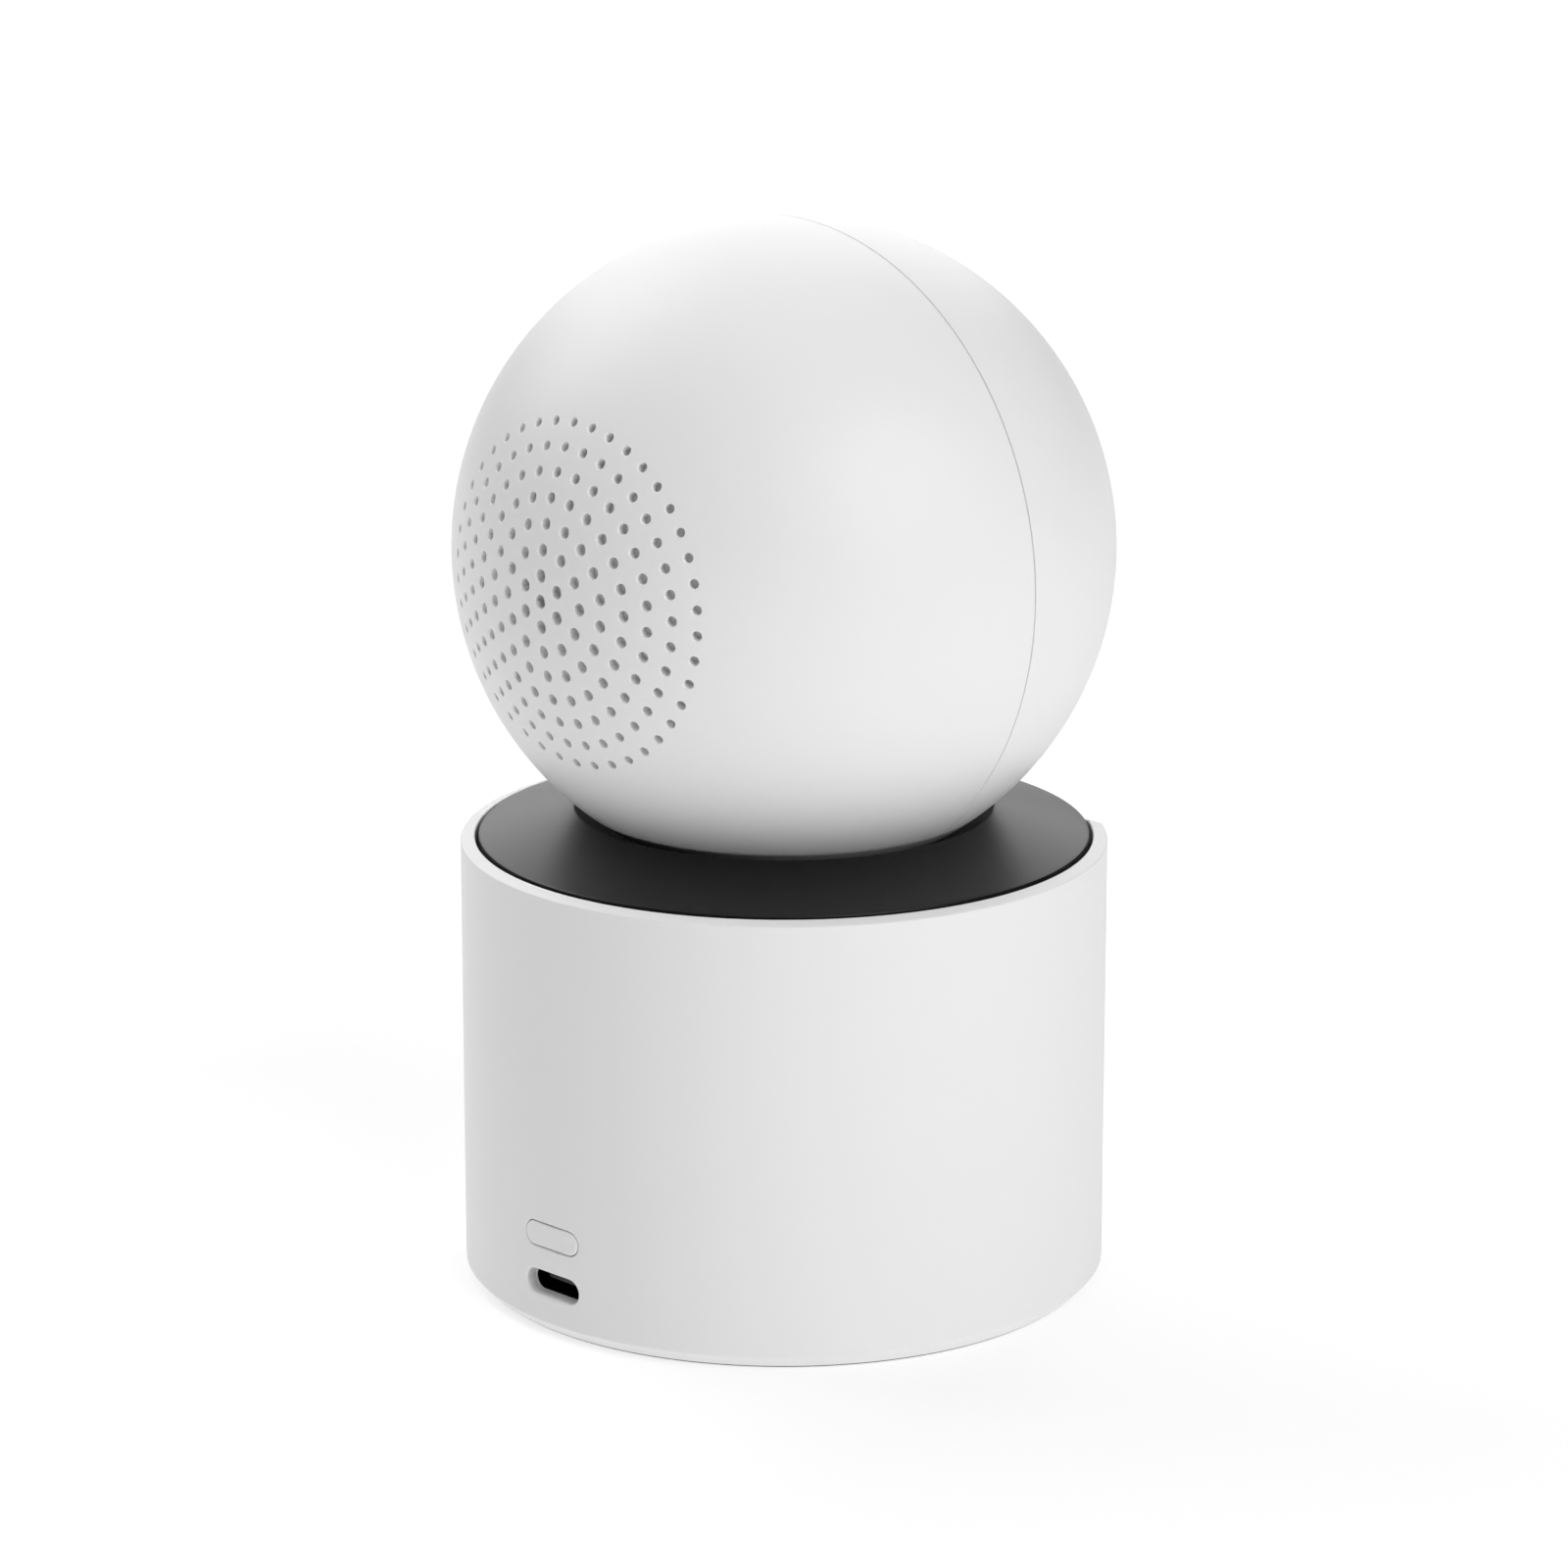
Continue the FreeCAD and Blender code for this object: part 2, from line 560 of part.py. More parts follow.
def make_front_window():
    inner = front_bar(WINDOW_R - 2.0)
    pane = hollow_ball(BALL_R, BALL_R - WINDOW_T).common(front_bar(WINDOW_R))
    flange = hollow_ball(BALL_IN_R - 0.05, BALL_IN_R - 0.5).common(front_bar(WINDOW_R + 1.0)).cut(inner)
    join = hollow_ball(BALL_R - 0.5, BALL_IN_R - 0.5).common(front_bar(WINDOW_R)).cut(inner)
    pane = pane.fuse([flange, join]).cut(front_bar(LENS_HOLE_R))
    holes = [front_bar(0.5, at) for at in MIC_AT] + [front_bar(0.95, STATUS_AT)]
    return pane.cut(holes).removeSplitter()


# ---------------------------------------------------------------- lens and boards

LENS_AT = (0, BALL_Z)


def make_lens_ring():
    ring = tube(LENS_HOLE_R - 0.05, 7.4, -39.55, -35.5, Y, LENS_AT)
    cone = Part.makeCone(8.3, 7.0, 2.0, V(0, -39.55, BALL_Z), Y)
    return ring.cut(cone)


def make_lens_barrel():
    body = cylinder(6.0, -35.0, -27.0, Y, LENS_AT)
    head = cylinder(7.3, -38.6, -33.0, Y, LENS_AT)
    barrel = body.fuse(head).cut(cylinder(4.6, -40, -20, Y, LENS_AT))
    barrel = barrel.cut(cylinder(6.1, -38.6, -35.4, Y, LENS_AT))
    for y in (-32.0, -30.6, -29.2):
        barrel = barrel.cut(tube(6.2, 5.8, y, y + 0.5, Y, LENS_AT))
    return barrel


def lens_solid(r, y_front, y_edge, y_back):
    """A glass element with a domed front and a flat back."""
    sag = y_edge - y_front
    dome_r = (r * r + sag * sag) / (2 * sag)
    dome = Part.makeSphere(dome_r, V(0, y_front + dome_r, BALL_Z))
    return cylinder(r, y_front, y_back, Y, LENS_AT).common(dome)


def make_front_lens():
    return lens_solid(6.05, -38.5, -36.9, -35.45)


def make_rear_lens():
    return lens_solid(4.55, -31.4, -30.4, -28.2)


def make_lens_holder():
    foot = rounded_block(-8.5, 8.5, -26.0, SENSOR_Y - SLIP, BALL_Z - 8.5, BALL_Z + 8.5, 1.5, Y)
    holder = foot.fuse(cylinder(7.8, -32.6, -26.0, Y, LENS_AT))
    holder = holder.cut(cylinder(6.03, -33, -26.9, Y, LENS_AT))
    holder = holder.cut(cylinder(4.6, -27, -22, Y, LENS_AT))
    return holder.cut(block(-5.2, 5.2, -25.2, -22.0, BALL_Z - 5.2, BALL_Z + 5.2)).removeSplitter()


def make_ir_filter():
    return cylinder(4.55, -26.6, -26.0, Y, LENS_AT)


def make_image_sensor():
    return block(-4.2, 4.2, -23.8, SENSOR_Y - 0.01, BALL_Z - 4.2, BALL_Z + 4.2)


def make_sensor_board():
    back = SENSOR_Y + BOARD_T
    board = rounded_block(-10, 10, SENSOR_Y, back, BALL_Z - 9.5, BALL_Z + 9.5, 1.5, Y)
    posts = [cylinder(1.3, back, BOARD_Y - SLIP, Y, (x, BALL_Z + z))
             for x in (-8.2, 8.2) for z in (-7.7, 7.7)]
    return board.fuse(posts)


LED_ANGLES = (-20.0, 20.0, 60.0, 120.0, 160.0, 200.0)
LED_AT = [(14.5 * math.cos(math.radians(a)), BALL_Z + 14.5 * math.sin(math.radians(a)))
          for a in LED_ANGLES]


def make_led_board():
    back = LED_BOARD_Y + BOARD_T
    board = tube(18.5, 10.0, LED_BOARD_Y, back, Y, LENS_AT)
    board = board.cut(block(-12, 12, -35, -25, 60, BALL_Z - 10.5))
    arms = [block(x - 1.5, x + 1.5, back, -24.5, BALL_Z - 2, BALL_Z + 2) for x in (-11.6, 11.6)]
    bridges = [block(min(s * 8.52, s * 13.1), max(s * 8.52, s * 13.1), -26.0, -24.5,
                     BALL_Z - 2, BALL_Z + 2) for s in (-1, 1)]
    return board.fuse(arms + bridges).removeSplitter()


def make_infrared_leds():
    leds = []
    for at in LED_AT:
        base = cylinder(1.7, LED_BOARD_Y - 1.2, LED_BOARD_Y - 0.01, Y, at)
        dome = Part.makeSphere(1.4, V(at[0], LED_BOARD_Y - 1.2, at[1]))
        leds.append(base.fuse(dome.common(cylinder(2, -34, LED_BOARD_Y - 0.6, Y, at))))
    return together(leds)


def make_light_sensor():
    return block(-1.2, 1.2, LED_BOARD_Y - 1.0, LED_BOARD_Y - 0.01, BALL_Z + 15.8, BALL_Z + 17.8)


def make_status_light():
    pipe = cylinder(0.9, -39.0, LED_BOARD_Y - 0.01, Y, STATUS_AT)
    return pipe.common(ball(BALL_R - 0.02))


def make_microphones():
    return together([block(x - 1.5, x + 1.5, LED_BOARD_Y - 1.1, LED_BOARD_Y - 0.01, z - 1.1, z + 1.1)
                     for x, z in MIC_AT])


BOARD_SCREWS = [(x, z) for x in (-14.5, 14.5) for z in (85.5, 105.0)]


def make_main_board():
    back = BOARD_Y + BOARD_T
    board = rounded_block(-17, 17, BOARD_Y, back, 76.0, 109.0, 2.0, Y)
    for at in BOARD_SCREWS:
        board = board.cut(cylinder(SMALL_CLEAR_R, BOARD_Y, back, Y, at))
    memory = block(-15.5, -10.2, BOARD_Y - 1.0, BOARD_Y, 91.0, 100.5)
    plug = block(10.0, 15.5, BOARD_Y - 2.4, BOARD_Y, 90.5, 100.5)
    return board.fuse([memory, plug])


def make_shield_can():
    return rounded_block(-7.5, 7.5, BOARD_Y - 2.0, BOARD_Y - 0.01, 77.5, 81.5, 0.6, Y)


def make_heat_sink():
    sink = block(-10, 10, BOARD_Y - 1.4, BOARD_Y - 0.01, 100.8, 108.4)
    fins = [block(x - 0.4, x + 0.4, BOARD_Y - 5.0, BOARD_Y - 1.4, 100.8, 108.4)
            for x in (-9.0, -6.0, -3.0, 0.0, 3.0, 6.0, 9.0)]
    return sink.fuse(fins).removeSplitter()


def make_card_socket():
    body = card_block(21.5, 34.6, 6.4, 0.9)
    return body.cut(card_block(23.0, 34.6, 5.6, 0.5))


def make_wifi_antenna():
    return hollow_ball(BALL_IN_R - 0.1, BALL_IN_R - 0.4).common(block(-13, 13, 8, 18, 115, 140))


# ---------------------------------------------------------------- head frame and tilt drive

MESH = math.radians(TILT_MESH_ANGLE)
TILT_PINION_AT = (TILT_DISTANCE * math.cos(MESH), BALL_Z + TILT_DISTANCE * math.sin(MESH))
TILT_MOTOR_R = 8.0
TILT_MOTOR_SCREWS = [(TILT_PINION_AT[0] + off * math.sin(MESH), TILT_PINION_AT[1] - off * math.cos(MESH))
                     for off in (-6.2, 6.2)]


def make_head_frame():
    back = FRAME_Y + 2.0
    plate = rounded_block(-24, 24, FRAME_Y, back, 73.0, 107.5, 2.5, Y)
    plate = plate.cut([block(-9.4, 9.4, -20, 0, 70, 82.5), block(16.4, 30, -20, 0, 78.7, 81.3)])
    boss = cylinder(5.6, ARM_X0, ARM_X1, X, (0, BALL_Z))
    right = block(ARM_X0, ARM_X1, back, 0, BALL_Z - 5.6, BALL_Z + 5.6)
    bridge = block(ARM_X0, ARM_X1, back, TILT_PINION_AT[0], BALL_Z, 106.0)
    pad = cylinder(TILT_MOTOR_R + 0.8, ARM_X0, ARM_X1, X, TILT_PINION_AT)
    left = block(-ARM_X1, -ARM_X0, back, 0, BALL_Z - 5.6, BALL_Z + 5.6)
    left_boss = cylinder(5.6, -ARM_X1, -ARM_X0, X, (0, BALL_Z))
    frame = plate.fuse([boss, right, bridge, pad, left, left_boss])
    frame = frame.cut(cylinder(3.52, -20, 20, X, (0, BALL_Z)))
    frame = frame.cut(cylinder(2.7, ARM_X0, ARM_X1, X, TILT_PINION_AT))
    for at in TILT_MOTOR_SCREWS:
        frame = frame.cut(cylinder(SMALL_CLEAR_R, ARM_X0, ARM_X1, X, at))
        frame = frame.cut(cylinder(1.7, ARM_X0, ARM_X0 + 1.2, X, at))
    for at in BOARD_SCREWS:
        frame = frame.fuse(cylinder(2.0, BOARD_Y + BOARD_T + SLIP, FRAME_Y, Y, at))
        frame = frame.cut(cylinder(PILOT_R, BOARD_Y, back, Y, at))
    for at in FRAME_BOSSES:
        frame = frame.cut(cylinder(CLEAR_R, FRAME_Y, back, Y, at))
    return frame.removeSplitter()


def make_head_screws():
    drive = (0.72, 1.5, 0.85)
    screws = [screw(5.0, *drive, V(x, BOARD_Y - SLIP, z), Y) for x, z in BOARD_SCREWS]
    screws += [screw(7.0, *drive, V(x, FRAME_Y + 2.0 + SLIP, z), -Y) for x, z in FRAME_BOSSES]
    screws += [screw(4.4, *drive, V(x, SPEAKER_Y - SLIP, z), Y) for x, z in SPEAKER_BOSSES]
    screws += [screw(3.4, *drive, V(ARM_X0 + 1.2, y, z), X) for y, z in TILT_MOTOR_SCREWS]
    return together(screws)


def make_tilt_bushes():
    bushes = []
    for side in (-1, 1):
        lo, hi = sorted((side * (ARM_X0 + 0.1), side * (ARM_X1 + 0.1)))
        outer = sorted((side * (ARM_X1 + SLIP), side * (ARM_X1 + 0.9)))
        bush = cylinder(3.5, lo, hi, X, (0, BALL_Z)).fuse(cylinder(4.6, *outer, X, (0, BALL_Z)))
        bushes.append(bush.cut(cylinder(SHAFT_R + 0.04, -20, 20, X, (0, BALL_Z))).removeSplitter())
    return together(bushes)


def make_tilt_motor():
    near = ARM_X1 + SLIP
    can = cylinder(TILT_MOTOR_R, near, 27.4, X, TILT_PINION_AT)
    can = can.makeFillet(0.8, [e for e in can.Edges if e.Closed])
    motor = can.fuse(cylinder(2.6, ARM_X0, near + 1, X, TILT_PINION_AT))
    motor = motor.cut(cylinder(1.05, ARM_X0, 22.0, X, TILT_PINION_AT))
    for at in TILT_MOTOR_SCREWS:
        motor = motor.cut(cylinder(PILOT_R, near, near + 2.4, X, at))
    return motor


def make_tilt_pinion():
    toward_axis = MESH + math.pi
    wheel = gear(PINION_TEETH, toward_axis + math.pi / PINION_TEETH, 9.7, 12.1, X, TILT_PINION_AT)
    return wheel.fuse(cylinder(1.0, 12.1, 20.0, X, TILT_PINION_AT)).removeSplitter()


def make_dust_shutter():
    """A curved strip that slides at half the head's speed and keeps the neck slot closed."""
    strip = tube(SHUTTER_R, SHUTTER_R - SHUTTER_T, -SHUTTER_HALF_X, SHUTTER_HALF_X, X, (0, BALL_Z))
    strip = strip.common(fan(-90.0, SHUTTER_HALF, -20.0, 20.0))
    return strip.cut(fan(-90.0, SHUTTER_HOLE_HALF, -SHUTTER_HOLE_X, SHUTTER_HOLE_X))


# ---------------------------------------------------------------- speaker

def make_speaker_frame():
    rim = tube(17.0, 14.2, SPEAKER_Y, SPEAKER_Y + 1.5, Y, LENS_AT)
    basket = Part.makeCone(9.6, 14.8, 6.0, V(0, SPEAKER_Y - 6.0, BALL_Z), Y)
    basket = basket.cut(Part.makeCone(8.4, 13.6, 6.0, V(0, SPEAKER_Y - 6.0, BALL_Z), Y))
    floor = tube(9.6, 4.6, SPEAKER_Y - 7.2, SPEAKER_Y - 6.0, Y, LENS_AT)
    frame = rim.fuse([basket, floor])
    for x, z in SPEAKER_BOSSES:
        turn = math.degrees(math.atan2(x, z - BALL_Z))
        ear = block(-2.4, 2.4, SPEAKER_Y, SPEAKER_Y + 1.48, BALL_Z + 14.6, BALL_Z + 23.0)
        ear.rotate(V(0, 0, BALL_Z), Y, turn)
        frame = frame.fuse([ear, cylinder(2.4, SPEAKER_Y, SPEAKER_Y + 1.48, Y, (x, z))])
        frame = frame.cut(cylinder(SMALL_CLEAR_R, SPEAKER_Y, SPEAKER_Y + 2, Y, (x, z)))
    return frame.removeSplitter()


def make_speaker_cone():
    outer = Part.makeCone(5.0, 13.4, 5.2, V(0, SPEAKER_Y - 4.9, BALL_Z), Y)
    inner = Part.makeCone(4.4, 12.8, 5.2, V(0, SPEAKER_Y - 4.9, BALL_Z), Y)
    surround = tube(14.1, 12.9, SPEAKER_Y + 0.02, SPEAKER_Y + 0.6, Y, LENS_AT)
    cap = cylinder(5.0, SPEAKER_Y - 4.9, SPEAKER_Y - 4.3, Y, LENS_AT)
    return outer.cut(inner).fuse([surround, cap]).removeSplitter()


def make_speaker_magnet():
    return cylinder(8.8, SPEAKER_Y - 12.0, SPEAKER_Y - 7.22, Y, LENS_AT)


def make_speaker_gasket():
    return tube(16.8, 14.4, SPEAKER_Y + 1.52, SPEAKER_Y + 3.4, Y, LENS_AT)


def make_speaker_mesh():
    outer = BALL_R - GRILLE_WALL - SLIP
    cap = hollow_ball(outer, outer - 0.25)
    return cap.common(cylinder(GRILLE_POCKET_R - 0.1, 20, 45, Y, LENS_AT))


PARTS = {
    "base_shell": make_base_shell,
    "bottom_cover": make_bottom_cover,
    "foot_ring": make_foot_ring,
    "tripod_insert": make_tripod_insert,
    "base_screws": make_base_screws,
    "counterweight": make_counterweight,
    "motor_deck": make_motor_deck,
    "pan_bearing": make_pan_bearing,
    "pan_motor": make_pan_motor,
    "base_machine_screws": make_base_machine_screws,
    "cable_cassette": make_cable_cassette,
    "power_board": make_power_board,
    "usb_c_shell": make_usb_c_shell,
    "usb_c_tongue": make_usb_c_tongue,
    "reset_switch": make_reset_switch,
    "reset_button": make_reset_button,
    "turntable_disc": make_turntable_disc,
    "neck_column": make_neck_column,
    "pan_gear": make_pan_gear,
    "turntable_screws": make_turntable_screws,
    "spindle_clip": make_spindle_clip,
    "tilt_shaft": make_tilt_shaft,
    "tilt_sector": make_tilt_sector,
    "friction_washer": make_friction_washer,
    "cable_harness": make_cable_harness,
    "pan_pinion": make_pan_pinion,
    "front_shell": make_front_shell,
    "rear_shell": make_rear_shell,
    "front_window": make_front_window,
    "lens_ring": make_lens_ring,
    "lens_barrel": make_lens_barrel,
    "front_lens": make_front_lens,
    "rear_lens": make_rear_lens,
    "lens_holder": make_lens_holder,
    "ir_filter": make_ir_filter,
    "image_sensor": make_image_sensor,
    "sensor_board": make_sensor_board,
    "led_board": make_led_board,
    "infrared_leds": make_infrared_leds,
    "light_sensor": make_light_sensor,
    "status_light": make_status_light,
    "microphones": make_microphones,
    "main_board": make_main_board,
    "shield_can": make_shield_can,
    "heat_sink": make_heat_sink,
    "card_socket": make_card_socket,
    "wifi_antenna": make_wifi_antenna,
    "head_frame": make_head_frame,
    "head_screws": make_head_screws,
    "tilt_bushes": make_tilt_bushes,
    "tilt_motor": make_tilt_motor,
    "tilt_pinion": make_tilt_pinion,
    "dust_shutter": make_dust_shutter,
    "speaker_frame": make_speaker_frame,
    "speaker_cone": make_speaker_cone,
    "speaker_magnet": make_speaker_magnet,
    "speaker_gasket": make_speaker_gasket,
    "speaker_mesh": make_speaker_mesh,
}

os.makedirs("parts", exist_ok=True)
for name, make in PARTS.items():
    shape = make()
    shape.exportStep(f"parts/{name}.step")
    size = shape.BoundBox
    print(f"{name}: {len(shape.Solids)} solids, {shape.Volume:.1f} mm3, "
          f"valid {shape.isValid()}, z {size.ZMin:.2f} to {size.ZMax:.2f}")
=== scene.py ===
# %% [markdown]
# # A pan-and-tilt security camera
# A ball head sits in a black turning disc on a round white base. The outside is made of a few
# moulded shells, so the looks come from true curves, thin even gaps, small rounded edges and
# a fine matt texture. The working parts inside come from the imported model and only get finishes.
# Everything is in metres, +Z up, with the lens towards -Y and the speaker towards +Y.

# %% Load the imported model
import json
import math

import bmesh
import bpy
from mathutils import Matrix, Vector


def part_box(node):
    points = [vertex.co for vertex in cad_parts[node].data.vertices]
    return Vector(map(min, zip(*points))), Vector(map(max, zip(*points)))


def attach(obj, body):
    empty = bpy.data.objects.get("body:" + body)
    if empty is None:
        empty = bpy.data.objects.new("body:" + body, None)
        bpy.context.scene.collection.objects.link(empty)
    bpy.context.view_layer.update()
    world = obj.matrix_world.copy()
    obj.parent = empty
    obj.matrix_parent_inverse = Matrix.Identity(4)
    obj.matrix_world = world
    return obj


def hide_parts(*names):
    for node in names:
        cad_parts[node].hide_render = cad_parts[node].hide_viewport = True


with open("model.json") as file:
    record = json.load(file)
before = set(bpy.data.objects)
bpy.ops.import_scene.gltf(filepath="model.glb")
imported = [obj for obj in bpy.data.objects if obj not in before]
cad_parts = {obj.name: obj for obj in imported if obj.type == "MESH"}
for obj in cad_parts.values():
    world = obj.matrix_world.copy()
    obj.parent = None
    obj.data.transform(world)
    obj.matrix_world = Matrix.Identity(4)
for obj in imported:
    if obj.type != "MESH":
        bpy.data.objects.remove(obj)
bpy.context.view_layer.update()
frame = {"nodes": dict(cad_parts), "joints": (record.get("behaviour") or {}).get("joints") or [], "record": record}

# %% [markdown]
# ## Sizes
# The shells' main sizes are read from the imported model, so the visible pieces fit it exactly.
# The ball's centre is the tilt joint's place, and its radius is half the rear shell's width.

# %% Sizes read from the model
MM = 0.001


def joint(name):
    return next(j for j in frame["joints"] if j["name"] == name)


BALL = Vector(joint("tilt")["pos_m"])
base_low, base_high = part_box("base_shell")
disc_low, disc_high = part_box("turntable_disc")
rear_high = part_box("rear_shell")[1]
foot_low, foot_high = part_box("foot_ring")
BASE_R = base_high.x
BALL_R = rear_high.z - BALL.z
DISC_R = disc_high.x
print("radii in mm:", *[f"{label} {radius / MM:.2f}" for label, radius in
                         (("ball", BALL_R), ("base", BASE_R), ("disc", DISC_R))])

# %% Sizes of the shells' details
BALL_WALL = 2.2 * MM
BALL_IN_R = BALL_R - BALL_WALL
SEAM_Y = -1.4 * MM
SEAM_GAP = 0.22 * MM
LIP_T = 1.1 * MM
GRILLE_IN_R, POCKET_R = BALL_R - 1.3 * MM, 20.6 * MM
WINDOW_R, WINDOW_T = 21.5 * MM, 1.7 * MM
SLOT_HALF_X, SLOT_HALF_Y = 8.6 * MM, 21.45 * MM
BASE_WALL = 2.4 * MM
FOOT_CHAMFER = 1.52 * MM
RIM_BORE_R = 37.25 * MM
RIM_SLOPE = math.radians(17.0)
BORE_FLOOR_Z = 48.0 * MM
FRONT_CUT_Y, FRONT_CUT_SLOPE = -30.9 * MM, math.radians(21.5)
RIM_Z = base_high.z - (BASE_R - RIM_BORE_R) * math.tan(RIM_SLOPE)
BUTTON_Z, PORT_Z = 12.5 * MM, 6.45 * MM

# %% [markdown]
# ## Camera
# The lens is long, so the upright lines of the base stay almost parallel. The camera stands behind
# and to one side, a little above the ball's middle, and looks at the middle of the object.

# %% Camera
VIEW_AZIMUTH, VIEW_ELEVATION = math.radians(225.1), math.radians(15.41)
VIEW_DISTANCE, VIEW_HEIGHT = 733.5 * MM, 60.62 * MM
LENS_MM, SENSOR_MM = 139.83, 36.0


def look_in(name, data, azimuth, elevation, distance):
    """Adds a camera or lamp that looks at the object from a direction; azimuth 0 is in front."""
    thing = bpy.data.objects.new(name, data)
    way = Vector((math.sin(azimuth) * math.cos(elevation), -math.cos(azimuth) * math.cos(elevation),
                  math.sin(elevation)))
    thing.location = Vector((0, 0, VIEW_HEIGHT)) + way * distance
    thing.rotation_euler = way.to_track_quat("Z", "Y").to_euler()
    bpy.context.scene.collection.objects.link(thing)
    return thing


def make_camera():
    data = bpy.data.cameras.new("camera")
    data.lens, data.sensor_width = LENS_MM, SENSOR_MM
    data.clip_start, data.clip_end = 0.01, 100.0
    camera = look_in("camera", data, VIEW_AZIMUTH, VIEW_ELEVATION, VIEW_DISTANCE)
    bpy.context.scene.camera = camera
    return camera


camera = make_camera()
print("camera at", [round(x, 3) for x in camera.location])

# %% [markdown]
# ## Floor and light
# A white product on a white ground needs soft light from every side. The strongest lamp stands
# behind, which whitens the ball's upper outline and glances off the black disc. Another on the
# camera's right makes the tube and the ball read as round. All are broad, so that the satin white
# shows no hot spots. The floor is pale and glows a little, as a light table does, which keeps the
# shadow at the foot faint.

# %% Floor and light
FLOOR_SIZE = 60.0
FLOOR_GLOW = 0.6
LAMP_DISTANCE = 1.6
# azimuth and elevation in degrees, diameter in metres, watts
LAMPS = {
    "back_lamp": (48, 32, 1.8, 14.0),
    "right_lamp": (265, 35, 1.4, 14.5),
    "left_lamp": (100, 40, 1.2, 10.5),
    "top_lamp": (0, 90, 1.6, 7.0),
    "fill_lamp": (225, 40, 1.8, 3.2),
}


def soft_lamp(name, azimuth, elevation, diameter, watts):
    data = bpy.data.lights.new(name, "AREA")
    data.shape, data.size, data.energy = "DISK", diameter, watts
    return look_in(name, data, math.radians(azimuth), math.radians(elevation), LAMP_DISTANCE)


def make_floor():
    mesh = bpy.data.meshes.new("floor")
    half = FLOOR_SIZE / 2
    mesh.from_pydata([(-half, -half, 0), (half, -half, 0), (half, half, 0), (-half, half, 0)],
                     [], [(0, 1, 2, 3)])
    floor = bpy.data.objects.new("floor", mesh)
    bpy.context.scene.collection.objects.link(floor)
    material = bpy.data.materials.new("pale_floor")
    material.use_nodes = True
    shader = material.node_tree.nodes["Principled BSDF"]
    shader.inputs["Base Color"].default_value = (0.45, 0.45, 0.45, 1)
    shader.inputs["Roughness"].default_value = 0.9
    shader.inputs["Specular IOR Level"].default_value = 0.0
    shader.inputs["Emission Color"].default_value = (1, 1, 1, 1)
    shader.inputs["Emission Strength"].default_value = FLOOR_GLOW
    mesh.materials.append(material)
    return floor


floor = make_floor()
world = bpy.data.worlds.new("studio")
world.color = (0, 0, 0)
bpy.context.scene.world = world
for name, settings in LAMPS.items():
    soft_lamp(name, *settings)
bpy.context.scene.view_settings.view_transform = "Standard"
print("floor", FLOOR_SIZE, "m,", len(LAMPS), "lamps")

# %% [markdown]
# ## Helpers for outlines and turned shells
# Most of the outside is round, so it is turned: an outline is spun about an axis. The outline's
# corners are given with a radius, because every moulded edge is rounded and the rounding is what
# catches the light. Spinning by hand, instead of with a Screw modifier, lets the outline change
# with the angle, which the base needs for its lowered front.

# %% Outline helpers
ARC_STEPS = 5


def rounded(corners, steps=ARC_STEPS):
    """A closed outline from (u, v, radius) corners, each with a radius becoming an arc."""
    outline = []
    for i, (u, v, radius) in enumerate(corners):
        if radius == 0:
            outline.append((u, v))
            continue
        here = Vector((u, v))
        back = (Vector(corners[i - 1][:2]) - here).normalized()
        ahead = (Vector(corners[(i + 1) % len(corners)][:2]) - here).normalized()
        half = back.angle(ahead) / 2
        centre = here + (back + ahead).normalized() * (radius / math.sin(half))
        first = here + back * (radius / math.tan(half)) - centre
        last = here + ahead * (radius / math.tan(half)) - centre
        start = math.atan2(first.y, first.x)
        sweep = (math.atan2(last.y, last.x) - start + math.pi) % (2 * math.pi) - math.pi
        for k in range(steps + 1):
            turn = start + sweep * k / steps
            outline.append((centre.x + radius * math.cos(turn), centre.y + radius * math.sin(turn)))
    return outline


def arc(radius, start, end, steps, centre=(0.0, 0.0)):
    """Points of an arc with no rounding of their own; angles in radians from the first axis."""
    points = []
    for k in range(steps + 1):
        turn = start + (end - start) * k / steps
        points.append((centre[0] + radius * math.cos(turn), centre[1] + radius * math.sin(turn), 0))
    return points


def smooth(mesh, sharp_degrees=35):
    """Smooth faces that stay sharp over edges steeper than an angle."""
    mesh.shade_smooth()
    mesh.set_sharp_from_angle(angle=math.radians(sharp_degrees))


def add_object(name, bm):
    """Closes, orients and links a mesh as a new object with smooth faces."""
    bmesh.ops.remove_doubles(bm, verts=bm.verts, dist=1e-7)
    bmesh.ops.recalc_face_normals(bm, faces=bm.faces)
    mesh = bpy.data.meshes.new(name)
    bm.to_mesh(mesh)
    bm.free()
    piece = bpy.data.objects.new(name, mesh)
    bpy.context.scene.collection.objects.link(piece)
    smooth(mesh)
    return piece


def turned(name, outline, about="z", columns=192, centre=Vector((0, 0, 0))):
    """Spins a closed outline of (distance from the axis, place along it) about Z or Y.
    The outline may be a function of the angle that gives the same number of points each time."""
    at_angle = outline if callable(outline) else lambda turn: outline
    bm = bmesh.new()
    rings = []
    for c in range(columns):
        turn = 2 * math.pi * c / columns
        ring = []
        for away, along in at_angle(turn):
            if about == "z":
                place = Vector((away * math.sin(turn), -away * math.cos(turn), along))
            else:
                place = Vector((away * math.sin(turn), along, away * math.cos(turn)))
            ring.append(bm.verts.new(centre + place))
        rings.append(ring)
    count = len(rings[0])
    for c in range(columns):
        here, there = rings[c], rings[(c + 1) % columns]
        for k in range(count):
            after = (k + 1) % count
            corners = (here[k], there[k], there[after], here[after])
            if len({tuple(v.co) for v in corners}) > 2:
                bm.faces.new(corners)
    return add_object(name, bm)


